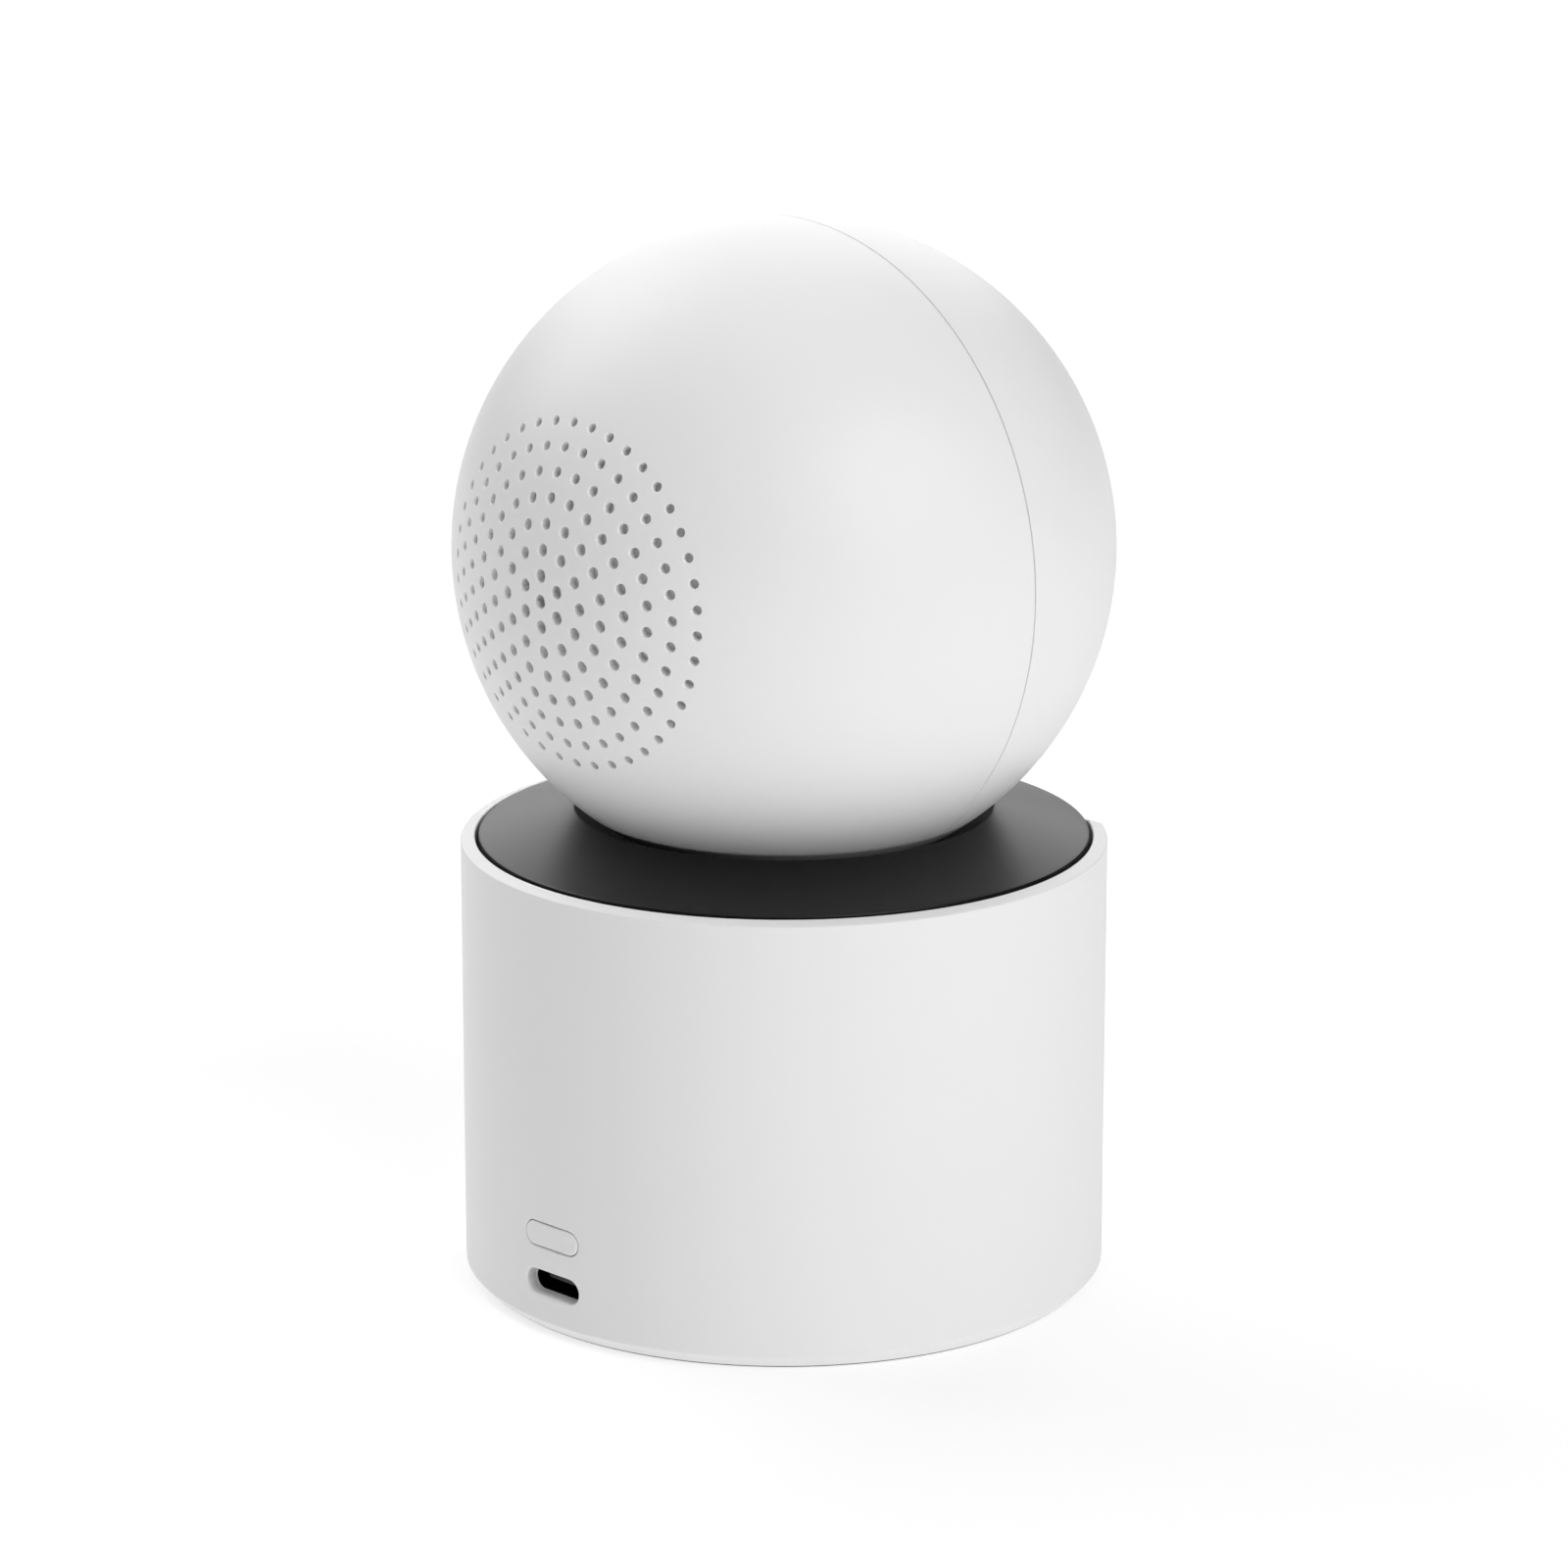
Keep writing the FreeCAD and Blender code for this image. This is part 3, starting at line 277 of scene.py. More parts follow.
# %% [markdown]
# ## Cutting and smoothing
# Openings are cut with the exact boolean. A cut leaves long faces, and faces that meet a small
# rounding would shade unevenly, so the normals are then set: straight out from the centre on a
# ball, and weighted by face area elsewhere.

# %% Cutting and normals
def baked(piece):
    """Replaces a piece's mesh with the result of its modifiers."""
    depsgraph = bpy.context.evaluated_depsgraph_get()
    depsgraph.update()
    mesh = bpy.data.meshes.new_from_object(piece.evaluated_get(depsgraph))
    piece.modifiers.clear()
    old, piece.data = piece.data, mesh
    mesh.name = piece.name
    bpy.data.meshes.remove(old)
    return piece


def cut(piece, *tools):
    """Subtracts the tools, which are then deleted."""
    for tool in tools:
        boolean = piece.modifiers.new("cut", "BOOLEAN")
        boolean.operation, boolean.solver, boolean.object = "DIFFERENCE", "EXACT", tool
    baked(piece)
    for tool in tools:
        bpy.data.objects.remove(tool)
    smooth(piece.data)
    return piece


def weigh_normals(piece):
    """Keeps large faces flat next to small roundings."""
    modifier = piece.modifiers.new("weigh", "WEIGHTED_NORMAL")
    modifier.mode, modifier.keep_sharp = "FACE_AREA", True
    return baked(piece)


def ball_normals(piece, *radii, near=0.03 * MM):
    """Points the normals of faces that lie on the ball straight away from its centre."""
    mesh = piece.data
    depth = [(v.co - BALL).length for v in mesh.vertices]
    normals = [Vector((0, 0, 0))] * len(mesh.loops)
    for face in mesh.polygons:
        for radius in radii:
            if all(abs(depth[v] - radius) < near for v in face.vertices):
                for loop in face.loop_indices:
                    out = (mesh.vertices[mesh.loops[loop].vertex_index].co - BALL).normalized()
                    normals[loop] = out if out.dot(face.normal) > 0 else -out
    mesh.normals_split_custom_set(normals)
    return piece


# %% [markdown]
# ## Base shell
# The real shell is one white moulding: a straight tube, a chamfered foot and a sloped ring at
# the top, which is planed down at the front so that the lens can look lower. It could be a
# cylinder with cuts. Here the outline is worked out anew at each angle, so the rim's small
# roundings follow the lowered part as well.

# %% Base shell
EDGE = 0.22 * MM


def front_height(y):
    """Height of the sloping plane that lowers the rim's front."""
    return RIM_Z + (y - FRONT_CUT_Y) * math.tan(FRONT_CUT_SLOPE)


def base_outline(turn):
    outer_top = min(RIM_Z, front_height(-BASE_R * math.cos(turn)))
    inner_top = min(base_high.z, front_height(-RIM_BORE_R * math.cos(turn)))
    inner_r = BASE_R - BASE_WALL
    rows = [(BASE_R, (4.0 + 0.5 * k) * MM, 0) for k in range(23)]
    return rounded([(inner_r, base_low.z, 0), (BASE_R - FOOT_CHAMFER, base_low.z, EDGE),
                    (BASE_R, base_low.z + FOOT_CHAMFER, EDGE), *rows,
                    (BASE_R, outer_top - 1.0 * MM, 0), (BASE_R, outer_top, EDGE),
                    (RIM_BORE_R, inner_top, EDGE), (RIM_BORE_R, inner_top - 1.0 * MM, 0),
                    (RIM_BORE_R, BORE_FLOOR_Z, 0), (inner_r, BORE_FLOOR_Z, 0)])


def pill_outline(half_width, half_height, steps=12):
    """Points of a pill shape, x to the side and z up."""
    straight = half_width - half_height
    right = arc(half_height, -math.pi / 2, math.pi / 2, steps, (straight, 0))
    left = arc(half_height, math.pi / 2, 3 * math.pi / 2, steps, (-straight, 0))
    return [(x, z) for x, z, _ in right + left]


def bridge(bm, rings, capped=True):
    """Faces between rings of the same number of points, and on the first and last ring."""
    for a, b in zip(rings, rings[1:]):
        for k in range(len(a)):
            after = (k + 1) % len(a)
            bm.faces.new((a[k], a[after], b[after], b[k]))
    if capped:
        bm.faces.new(rings[0])
        bm.faces.new(rings[-1])


def wall_ring(bm, half_width, half_height, z, below, radius=BASE_R):
    """A pill-shaped ring of points that follows the tube's wall, a little below its surface."""
    return [bm.verts.new((x, math.sqrt(radius**2 - x**2) - below, z + up))
            for x, up in pill_outline(half_width, half_height)]


def pill_ring(bm, half_width, half_height, y, z):
    """A flat pill-shaped ring of points at a place along Y."""
    return [bm.verts.new((x, y, z + up)) for x, up in pill_outline(half_width, half_height)]


def pill_tool(name, half_width, half_height, z, flare, inner):
    """A cutter through the rear wall. Its mouth is flared by a quarter round; inner holds the
    (growth, place along Y) of its further levels."""
    bm = bmesh.new()
    rings = [wall_ring(bm, half_width + flare, half_height + flare, z, -1.0 * MM)]
    for k in range(ARC_STEPS + 1):
        turn = math.pi / 2 * k / ARC_STEPS
        grow, below = flare * (1 - math.sin(turn)), flare * (1 - math.cos(turn))
        rings.append(wall_ring(bm, half_width + grow, half_height + grow, z, below))
    rings += [pill_ring(bm, half_width + grow, half_height + grow, y, z) for grow, y in inner]
    bridge(bm, rings)
    return add_object(name, bm)


base = turned("base_shell_moulding", base_outline, columns=360)
port_low, port_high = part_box("usb_c_shell")
BUTTON_HALF_W, BUTTON_HALF_H, BUTTON_GAP = 4.4 * MM, 1.45 * MM, 0.12 * MM
PORT_HALF_W, PORT_HALF_H = 4.47 * MM, 1.58 * MM
PORT_LEDGE = 0.12 * MM
face_y, inside_y = port_high.y, 34.0 * MM
port_levels = [(0.0, face_y + 0.12 * MM), (-PORT_LEDGE, face_y + 0.08 * MM),
               (-PORT_LEDGE, face_y + 0.01 * MM), (PORT_LEDGE, face_y + 0.01 * MM),
               (PORT_LEDGE, inside_y)]
cut(base,
    pill_tool("port_tool", PORT_HALF_W, PORT_HALF_H, PORT_Z, 0.22 * MM, port_levels),
    pill_tool("button_tool", BUTTON_HALF_W + BUTTON_GAP, BUTTON_HALF_H + BUTTON_GAP, BUTTON_Z,
              0.14 * MM, [(0.0, inside_y)]))
weigh_normals(base)
print("base shell", len(base.data.polygons), "faces")

# %% [markdown]
# ## Reset button
# The button is a pill-shaped cap that stands almost flush with the wall. Its face follows the
# wall's curve, so it is built in rings from the rim inwards instead of as a flat slab.

# %% Reset button
BUTTON_PROUD = 0.08 * MM
BUTTON_EDGE = 0.22 * MM


def make_button():
    bm = bmesh.new()
    levels = [(0.0, 3.4 * MM)]
    for k in range(ARC_STEPS + 1):
        turn = math.pi / 2 * k / ARC_STEPS
        levels.append((-BUTTON_EDGE * (1 - math.cos(turn)), BUTTON_EDGE * (1 - math.sin(turn))))
    levels += [(-0.6 * MM, 0.0), (-1.1 * MM, 0.0)]
    rings = [wall_ring(bm, BUTTON_HALF_W + grow, BUTTON_HALF_H + grow, BUTTON_Z, below,
                       BASE_R + BUTTON_PROUD) for grow, below in levels]
    bridge(bm, rings, capped=False)
    bm.faces.new(rings[0])
    last = rings[-1]
    half = len(last) // 2
    for k in range(half - 1):
        bm.faces.new((last[k], last[k + 1], last[-2 - k], last[-1 - k]))
    return add_object("reset_button_cap", bm)


button = weigh_normals(make_button())
print("reset button", len(button.data.polygons), "faces")

# %% [markdown]
# ## Turntable disc
# The disc is one black moulding that turns inside the rim: a shallow cone, a skirt that hides
# the drive, and a round bowl that the ball sits in. Its outer edge and the opening's rim are
# only slightly rounded, and both show as thin bright lines.

# %% Turntable disc
BOWL_R = 40.5 * MM
OPENING_R = math.sqrt(BOWL_R**2 - (BALL.z - disc_high.z)**2)
DISC_EDGE_Z = 54.92 * MM
SKIRT_Z = 49.2 * MM


def disc_outline():
    open_turn = math.atan2(disc_high.z - BALL.z, OPENING_R)
    bowl = arc(BOWL_R, open_turn - 0.03, -math.pi / 2 + 0.19, 40, (0, BALL.z))
    skirt_in = DISC_R - 1.6 * MM
    slope = (disc_high.z - DISC_EDGE_Z) / (DISC_R - OPENING_R)
    cone = [(OPENING_R + t * (DISC_R - OPENING_R), disc_high.z - t * (disc_high.z - DISC_EDGE_Z), 0)
            for t in (0.06, 0.3, 0.6, 0.94)]
    under = DISC_EDGE_Z + 1.6 * MM * slope - 1.8 * MM
    outside_bowl = arc(BOWL_R + 2 * MM, -math.pi / 2 + 0.23, -0.88, 16, (0, BALL.z))
    hub_r = bowl[-1][0]
    return rounded([*bowl, (hub_r, disc_low.z, 0), (15.5 * MM, disc_low.z, 0.3 * MM),
                    *[p for p in outside_bowl if p[0] > 15.6 * MM], (skirt_in, under, 0),
                    (skirt_in, SKIRT_Z, 0.2 * MM), (DISC_R, SKIRT_Z, 0.2 * MM),
                    (DISC_R, DISC_EDGE_Z, 0.2 * MM), *reversed(cone),
                    (OPENING_R, disc_high.z, 0.25 * MM)])


disc = weigh_normals(turned("turntable_disc_moulding", disc_outline(), columns=360))
print("turntable disc", len(disc.data.polygons), "faces")

# %% [markdown]
# ## Foot ring
# A rubber ring under the base keeps it from sliding. Only its dark edge shows, as a thin line
# at the foot, and this line is partly painted shade: it stands for the contact shadow on the floor.

# %% Foot ring
def foot_outline():
    groove_z = 0.18 * MM
    return rounded([(30.0 * MM, foot_low.z, 0.05 * MM), (foot_high.x, foot_low.z, 0.05 * MM),
                    (foot_high.x, groove_z, 0.05 * MM), (35.1 * MM, groove_z, 0),
                    (35.1 * MM, foot_high.z, 0), (30.4 * MM, foot_high.z, 0),
                    (30.4 * MM, groove_z, 0), (30.0 * MM, groove_z, 0)])


foot = weigh_normals(turned("foot_ring_rubber", foot_outline(), columns=256))
print("foot ring", len(foot.data.polygons), "faces")

# %% [markdown]
# ## Ball shells
# The head is two white half shells that meet in a thin ring seam. Each is turned about the Y
# axis as a wall with two arcs. The slot for the neck is cut through the bottom of both.

# %% Ball shell helpers
SEAM_EDGE = 0.08 * MM
BALL_COLUMNS = 288


def slot_tool():
    """The neck slot's cutter, an upright block with round corners."""
    bm = bmesh.new()
    outline = rounded([(x, y, 4 * MM) for x, y in (
        (-SLOT_HALF_X, -SLOT_HALF_Y), (SLOT_HALF_X, -SLOT_HALF_Y),
        (SLOT_HALF_X, SLOT_HALF_Y), (-SLOT_HALF_X, SLOT_HALF_Y))], 8)
    bridge(bm, [[bm.verts.new((x, y, z)) for x, y in outline] for z in (45 * MM, 75 * MM)])
    return add_object("slot_tool", bm)


def sphere_run(radius, y_start, y_end, steps):
    """Outline points along a sphere from one place along Y to another."""
    start, end = math.acos(y_start / radius), math.acos(y_end / radius)
    return [(r, y, 0) for y, r, _ in arc(radius, start, end, steps)]


def rear_outline():
    """Outer wall, seam face, the lip that the front shell slips over, inner wall, thin grille."""
    edge, lip_front, lip_back = SEAM_Y + SEAM_GAP / 2, SEAM_Y - 3 * MM, SEAM_Y + 3 * MM
    lip_out, lip_in = BALL_IN_R - 0.1 * MM, BALL_IN_R - LIP_T
    pocket_y = math.sqrt(BALL_IN_R**2 - POCKET_R**2)
    outer = sphere_run(BALL_R, BALL_R, edge, 90)
    outer[0], outer[-1] = (0.0, BALL_R, 0), (*outer[-1][:2], SEAM_EDGE)
    lip = [*sphere_run(lip_out, edge, lip_front, 4), *sphere_run(lip_in, lip_front, lip_back, 6)]
    inner = sphere_run(BALL_IN_R, lip_back, pocket_y, 50)
    pocket = sphere_run(GRILLE_IN_R, math.sqrt(GRILLE_IN_R**2 - POCKET_R**2), GRILLE_IN_R, 30)
    pocket[-1] = (0.0, GRILLE_IN_R, 0)
    return rounded([*outer, *lip, *inner, *pocket], 3)


def front_outline():
    """Outer wall from the window to the seam, and the inner wall back."""
    edge, window_r = SEAM_Y - SEAM_GAP / 2, WINDOW_R + 0.1 * MM
    outer = sphere_run(BALL_R, -math.sqrt(BALL_R**2 - window_r**2), edge, 70)
    outer[0], outer[-1] = (*outer[0][:2], 0.15 * MM), (*outer[-1][:2], SEAM_EDGE)
    inner = sphere_run(BALL_IN_R, edge, -math.sqrt(BALL_IN_R**2 - window_r**2), 50)
    return rounded([*outer, *inner], 3)


rear = turned("rear_shell_moulding", rear_outline(), "y", BALL_COLUMNS, BALL)
cut(rear, slot_tool())
print("rear shell", len(rear.data.polygons), "faces before the grille")

# %% [markdown]
# ## Speaker grille
# The holes lie on rings about the rear axis, six more in each ring than in the last, and each
# ring starts at the top. They get smaller outwards. A node tree places one small drill on each
# point and cuts them all from the shell: ring and place in the ring follow from the point's
# number alone, so nothing is listed. The drill's mouth is flared, which rounds each hole's edge.

# %% Node tree helpers
def new_tree(name, inputs):
    """A geometry node tree with a Geometry in and out and named inputs."""
    tree = bpy.data.node_groups.new(name, "GeometryNodeTree")
    tree.interface.new_socket("Geometry", in_out="INPUT", socket_type="NodeSocketGeometry")
    for label, kind, value in inputs:
        socket = tree.interface.new_socket(label, in_out="INPUT", socket_type=kind)
        if value is not None:
            socket.default_value = value
    tree.interface.new_socket("Geometry", in_out="OUTPUT", socket_type="NodeSocketGeometry")
    return tree


def put(tree, kind, links=(), **settings):
    """Adds a node, sets it up and links or sets its inputs, given by name or number."""
    node = tree.nodes.new(kind)
    for key, value in settings.items():
        setattr(node, key, value)
    for key, value in dict(links).items():
        socket = node.inputs[key]
        if isinstance(value, bpy.types.NodeSocket):
            tree.links.new(value, socket)
        else:
            socket.default_value = value
    return node


def maths(tree, operation, *values):
    """A Math node; values are sockets or numbers."""
    return put(tree, "ShaderNodeMath", dict(enumerate(values)), operation=operation).outputs[0]


def plus(tree, a, b):
    return maths(tree, "ADD", a, b)


def minus(tree, a, b):
    return maths(tree, "SUBTRACT", a, b)


def times(tree, a, b):
    return maths(tree, "MULTIPLY", a, b)


def end_tree(tree, geometry, material):
    """Turns a tree's instances into mesh, gives it a material and puts it out."""
    whole = put(tree, "GeometryNodeRealizeInstances", {0: geometry})
    painted = put(tree, "GeometryNodeSetMaterial",
                  {"Geometry": whole.outputs[0], "Material": material})
    put(tree, "NodeGroupOutput", {"Geometry": painted.outputs[0]})
    return tree


def run_tree(piece, tree, values):
    """Runs a tree on a piece, with inputs given by name, and keeps the result as its mesh."""
    modifier = piece.modifiers.new(tree.name, "NODES")
    modifier.node_group = tree
    for item in tree.interface.items_tree:
        if item.in_out == "INPUT" and item.name in values:
            modifier[item.identifier] = values[item.name]
    return baked(piece)


# %% Grille tree
def grille_tree():
    tree = new_tree("speaker_grille", [
        ("Drill", "NodeSocketObject", None), ("Rings", "NodeSocketInt", 7),
        ("Ring Step", "NodeSocketFloat", 0.0766), ("Ball Radius", "NodeSocketFloat", 0.04),
        ("Ball Centre", "NodeSocketVector", None), ("Middle Size", "NodeSocketFloat", 1.0),
        ("Size Loss", "NodeSocketFloat", 0.0), ("Material", "NodeSocketMaterial", None)])
    given = tree.nodes.new("NodeGroupInput").outputs
    rings = given["Rings"]
    total = plus(tree, times(tree, times(tree, rings, 3), plus(tree, rings, 1)), 1)
    points = put(tree, "GeometryNodePoints", {"Count": total})
    index = tree.nodes.new("GeometryNodeInputIndex").outputs[0]
    root = maths(tree, "SQRT", minus(tree, times(tree, index, 12), 3))
    ring = maths(tree, "FLOOR", maths(tree, "DIVIDE", plus(tree, root, 3.0001), 6))
    before = times(tree, times(tree, ring, 3), minus(tree, ring, 1))
    place = minus(tree, minus(tree, index, before), 1)
    turn = times(tree, maths(tree, "DIVIDE", place, times(tree, ring, 6)), 2 * math.pi)
    polar = times(tree, ring, given["Ring Step"])
    side = maths(tree, "SINE", polar)
    way = put(tree, "ShaderNodeCombineXYZ",
              {"X": times(tree, side, maths(tree, "SINE", turn)), "Y": maths(tree, "COSINE", polar),
               "Z": times(tree, side, maths(tree, "COSINE", turn))}).outputs[0]
    reach = put(tree, "ShaderNodeVectorMath", {0: way, "Scale": given["Ball Radius"]},
                operation="SCALE").outputs[0]
    spot = put(tree, "ShaderNodeVectorMath", {0: reach, 1: given["Ball Centre"]},
               operation="ADD").outputs[0]
    placed = put(tree, "GeometryNodeSetPosition", {"Geometry": points.outputs[0], "Position": spot})
    facing = put(tree, "FunctionNodeAlignRotationToVector", {"Vector": way}, axis="Z")
    drill = put(tree, "GeometryNodeObjectInfo", {"Object": given["Drill"]})
    size = minus(tree, given["Middle Size"], times(tree, ring, given["Size Loss"]))
    scale = put(tree, "ShaderNodeCombineXYZ", {"X": size, "Y": size, "Z": 1.0}).outputs[0]
    drills = put(tree, "GeometryNodeInstanceOnPoints",
                 {"Points": placed.outputs[0], "Instance": drill.outputs["Geometry"],
                  "Rotation": facing.outputs[0], "Scale": scale})
    solid = put(tree, "GeometryNodeRealizeInstances", {0: drills.outputs[0]})
    drilled = put(tree, "GeometryNodeMeshBoolean",
                  {"Mesh 1": given["Geometry"], "Mesh 2": solid.outputs[0]},
                  operation="DIFFERENCE", solver="EXACT")
    return end_tree(tree, drilled.outputs[0], given["Material"])


# %% The drill
GRILLE_RINGS = 7
GRILLE_STEP = math.radians(4.387)
HOLE_D, HOLE_LOSS = 1.63 * MM, 0.073 * MM
HOLE_SIDES = 18


def make_drill():
    """A drill of diameter one along Z, with its mouth at z = 0 flared by a small round."""
    flare = 0.1
    bm = bmesh.new()
    levels = [(0.5 + flare, 0.8 * MM), (0.5 + flare, 0.0),
              (0.5 + flare * 0.3, -flare * 0.35 * HOLE_D), (0.5, -flare * HOLE_D), (0.5, -3.2 * MM)]
    turns = [2 * math.pi * k / HOLE_SIDES for k in range(HOLE_SIDES)]
    bridge(bm, [[bm.verts.new((radius * math.cos(t), radius * math.sin(t), z)) for t in turns]
                for radius, z in levels])
    return add_object("grille_drill", bm)


# %% Cut the grille
def drill_grille(shell, material):
    drill = make_drill()
    run_tree(shell, grille_tree(), {
        "Drill": drill, "Rings": GRILLE_RINGS, "Ring Step": GRILLE_STEP, "Ball Radius": BALL_R,
        "Ball Centre": BALL, "Middle Size": HOLE_D, "Size Loss": HOLE_LOSS, "Material": material})
    bpy.data.objects.remove(drill)
    smooth(shell.data)
    return ball_normals(shell, BALL_R, BALL_IN_R, GRILLE_IN_R)


# %% [markdown]
# ## Bosses and lips inside the shells
# The shells are held together by a lip and by screw bosses, as moulded halves are. They don't show
# from outside, but they are part of the moulding, so they are joined to it before it is cut.

# %% Inside details of the shells
def bar(name, radius, start, end, sides=32):
    """A closed round bar between two points."""
    way = end - start
    bm = bmesh.new()
    bmesh.ops.create_cone(bm, cap_ends=True, segments=sides, radius1=radius, radius2=radius,
                          depth=way.length)
    spin = way.to_track_quat("Z", "Y").to_matrix().to_4x4()
    bmesh.ops.transform(bm, matrix=Matrix.Translation((start + end) / 2) @ spin, verts=bm.verts)
    return add_object(name, bm)


def join(piece, *parts):
    """Joins closed parts to a piece as one solid; the parts are then deleted."""
    for part in parts:
        boolean = piece.modifiers.new("join", "BOOLEAN")
        boolean.operation, boolean.solver, boolean.object = "UNION", "EXACT", part
    baked(piece)
    for part in parts:
        bpy.data.objects.remove(part)
    return piece


def bosses(spots, radius, foot_y):
    """Round posts from a plane at foot_y into the ball's wall, which their far ends follow."""
    side = 1 if foot_y > 0 else -1
    reach = BALL_IN_R + 0.8 * MM
    made = []
    for x, z in spots:
        foot_at = BALL + Vector((x, foot_y, z))
        post = bar("boss", radius, foot_at, foot_at + Vector((0, side * 10 * MM, 0)))
        for vertex in post.data.vertices:
            out = vertex.co - BALL
            if abs(out.y) > abs(foot_y) + MM:
                vertex.co.y = side * math.sqrt(reach**2 - out.x**2 - out.z**2)
        made.append(post)
    return made


SPEAKER_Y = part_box("speaker_frame")[1].y
SPEAKER_SPOTS = [(23 * MM * math.sin(t), 23 * MM * math.cos(t))
                 for t in (0.0, 2 * math.pi / 3, 4 * math.pi / 3)]
FRAME_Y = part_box("head_frame")[0].y
FRAME_SPOTS = [(x * MM, z * MM) for x in (-21, 21) for z in (-14, 14)]
join(rear, *bosses(SPEAKER_SPOTS, 2.3 * MM, SPEAKER_Y))
ball_normals(rear, BALL_R, BALL_IN_R)
print("rear shell with bosses", len(rear.data.polygons), "faces")

# %% [markdown]
# ## Front shell
# The front half carries the round window, the neck slot and, low on its right side, the slot
# for a memory card. It is one turned piece that stops at the window's edge, with the two slots cut.

# %% Front shell
LENS_HOLE_R = 8.5 * MM
CARD_TURN, CARD_Z = math.radians(72.0), 80 * MM


def card_tool():
    """The memory-card slot's cutter, a thin block that leans with the shell's side."""
    bm = bmesh.new()
    bmesh.ops.create_cube(bm, size=1)
    size = Matrix.Diagonal((12 * MM, 15 * MM, 1.6 * MM, 1))
    spin = Matrix.Rotation(CARD_TURN, 4, "Z")
    place = Matrix.Translation((0, -37.5 * MM, CARD_Z))
    bmesh.ops.transform(bm, matrix=spin @ place @ size, verts=bm.verts)
    upright = [e for e in bm.edges if abs(e.verts[0].co.z - e.verts[1].co.z) > MM]
    bmesh.ops.bevel(bm, geom=upright, offset=0.5 * MM, segments=4, affect="EDGES")
    return add_object("card_tool", bm)


front = turned("front_shell_moulding", front_outline(), "y", BALL_COLUMNS, BALL)
join(front, *bosses(FRAME_SPOTS, 2.6 * MM, FRAME_Y - 0.02 * MM))
cut(front, slot_tool(), card_tool())
ball_normals(front, BALL_R, BALL_IN_R)
print("front shell", len(front.data.polygons), "faces")

# %% [markdown]
# ## Front window
# A glossy black cap continues the ball over the lens and the infrared lamps. It is polished, so
# its reflections must run on from the ball without a kink. It has a hole for the lens, a pinhole
# for the status light and two for the microphones.

# %% Front window
def window_outline():
    hole, edge = math.asin(LENS_HOLE_R / BALL_R), math.asin(WINDOW_R / BALL_R)
    out = [(r, a, 0) for a, r, _ in arc(BALL_R, hole, edge, 40)]
    out[0], out[-1] = (*out[0][:2], 0.1 * MM), (*out[-1][:2], 0.15 * MM)
    back_r, seat_r, lap_r = BALL_R - WINDOW_T, BALL_IN_R - 0.05 * MM, BALL_IN_R - 0.5 * MM
    inset, lap = WINDOW_R - 2 * MM, WINDOW_R + MM

    def on(radius, r):
        return (r, math.sqrt(radius**2 - r**2), 0)

    back = [on(back_r, inset + (LENS_HOLE_R - inset) * k / 20) for k in range(21)]
    path = [*out, on(seat_r, WINDOW_R), on(seat_r, lap), on(lap_r, lap), on(lap_r, inset), *back]
    return [(r, -a) for r, a in rounded(path, 4)]


def hole_bar(name, radius, x, z):
    return bar(name, radius, BALL + Vector((x, -45 * MM, z)), BALL + Vector((x, -30 * MM, z)), 48)


window = turned("front_window_pane", window_outline(), "y", BALL_COLUMNS, BALL)
status_low, status_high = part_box("status_light")
STATUS_Z = (status_low.z + status_high.z) / 2 - BALL.z
MIC_X, MIC_Z = 11.3 * MM, 12.2 * MM
cut(window, hole_bar("status_hole", 0.95 * MM, 0, STATUS_Z),
    hole_bar("mic_hole_left", 0.5 * MM, -MIC_X, MIC_Z),
    hole_bar("mic_hole_right", 0.5 * MM, MIC_X, MIC_Z))
ball_normals(window, BALL_R)
print("front window", len(window.data.polygons), "faces")

# %% [markdown]
# ## Lens
# Behind the hole sit a satin ring with a funnel-shaped mouth, a threaded barrel with baffle steps
# and a domed glass element. All are turned parts on a real lens, so they are turned here.

# %% Lens parts
ring_low, ring_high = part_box("lens_ring")
barrel_low, barrel_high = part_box("lens_barrel")
glass_low, glass_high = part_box("front_lens")


def lens_ring_outline():
    out_r, front_y, back_y = ring_high.x, ring_low.y, ring_high.y
    return rounded([(out_r, back_y, 0.1 * MM), (7.4 * MM, back_y, 0.1 * MM),
                    (7.4 * MM, front_y + 1.385 * MM, 0.2 * MM), (8.3 * MM, front_y, 0.05 * MM),
                    (out_r, front_y, 0.05 * MM)], 4)


def barrel_outline():
    """Body with grip grooves outside and a stair of light baffles inside."""
    corners = [(7.3 * MM, barrel_low.y, 0.12 * MM), (7.3 * MM, -33 * MM, 0.12 * MM),
               (6 * MM, -33 * MM, 0)]
    for y in (-32.0, -30.6, -29.2):
        corners += [(6 * MM, y * MM, 0), (5.8 * MM, y * MM, 0),
                    (5.8 * MM, (y + 0.5) * MM, 0), (6 * MM, (y + 0.5) * MM, 0)]
    corners += [(6 * MM, barrel_high.y, 0.1 * MM), (4.6 * MM, barrel_high.y, 0.1 * MM),
                (4.6 * MM, -35.4 * MM, 0), (6.1 * MM, -35.4 * MM, 0),
                (6.1 * MM, barrel_low.y, 0.06 * MM)]
    return rounded(corners, 4)


def glass_outline():
    """A domed front, a ground edge and a flat back, like a real front element."""
    radius, edge_y, back_y = 6.05 * MM, -36.9 * MM, glass_high.y
    sag = edge_y - glass_low.y
    dome_r = (radius**2 + sag**2) / (2 * sag)
    half = math.asin(radius / dome_r)
    dome = [(dome_r * math.sin(half * k / 24), glass_low.y + dome_r * (1 - math.cos(half * k / 24)))
            for k in range(25)]
    return [*dome, (radius, back_y), (0.0, back_y)]


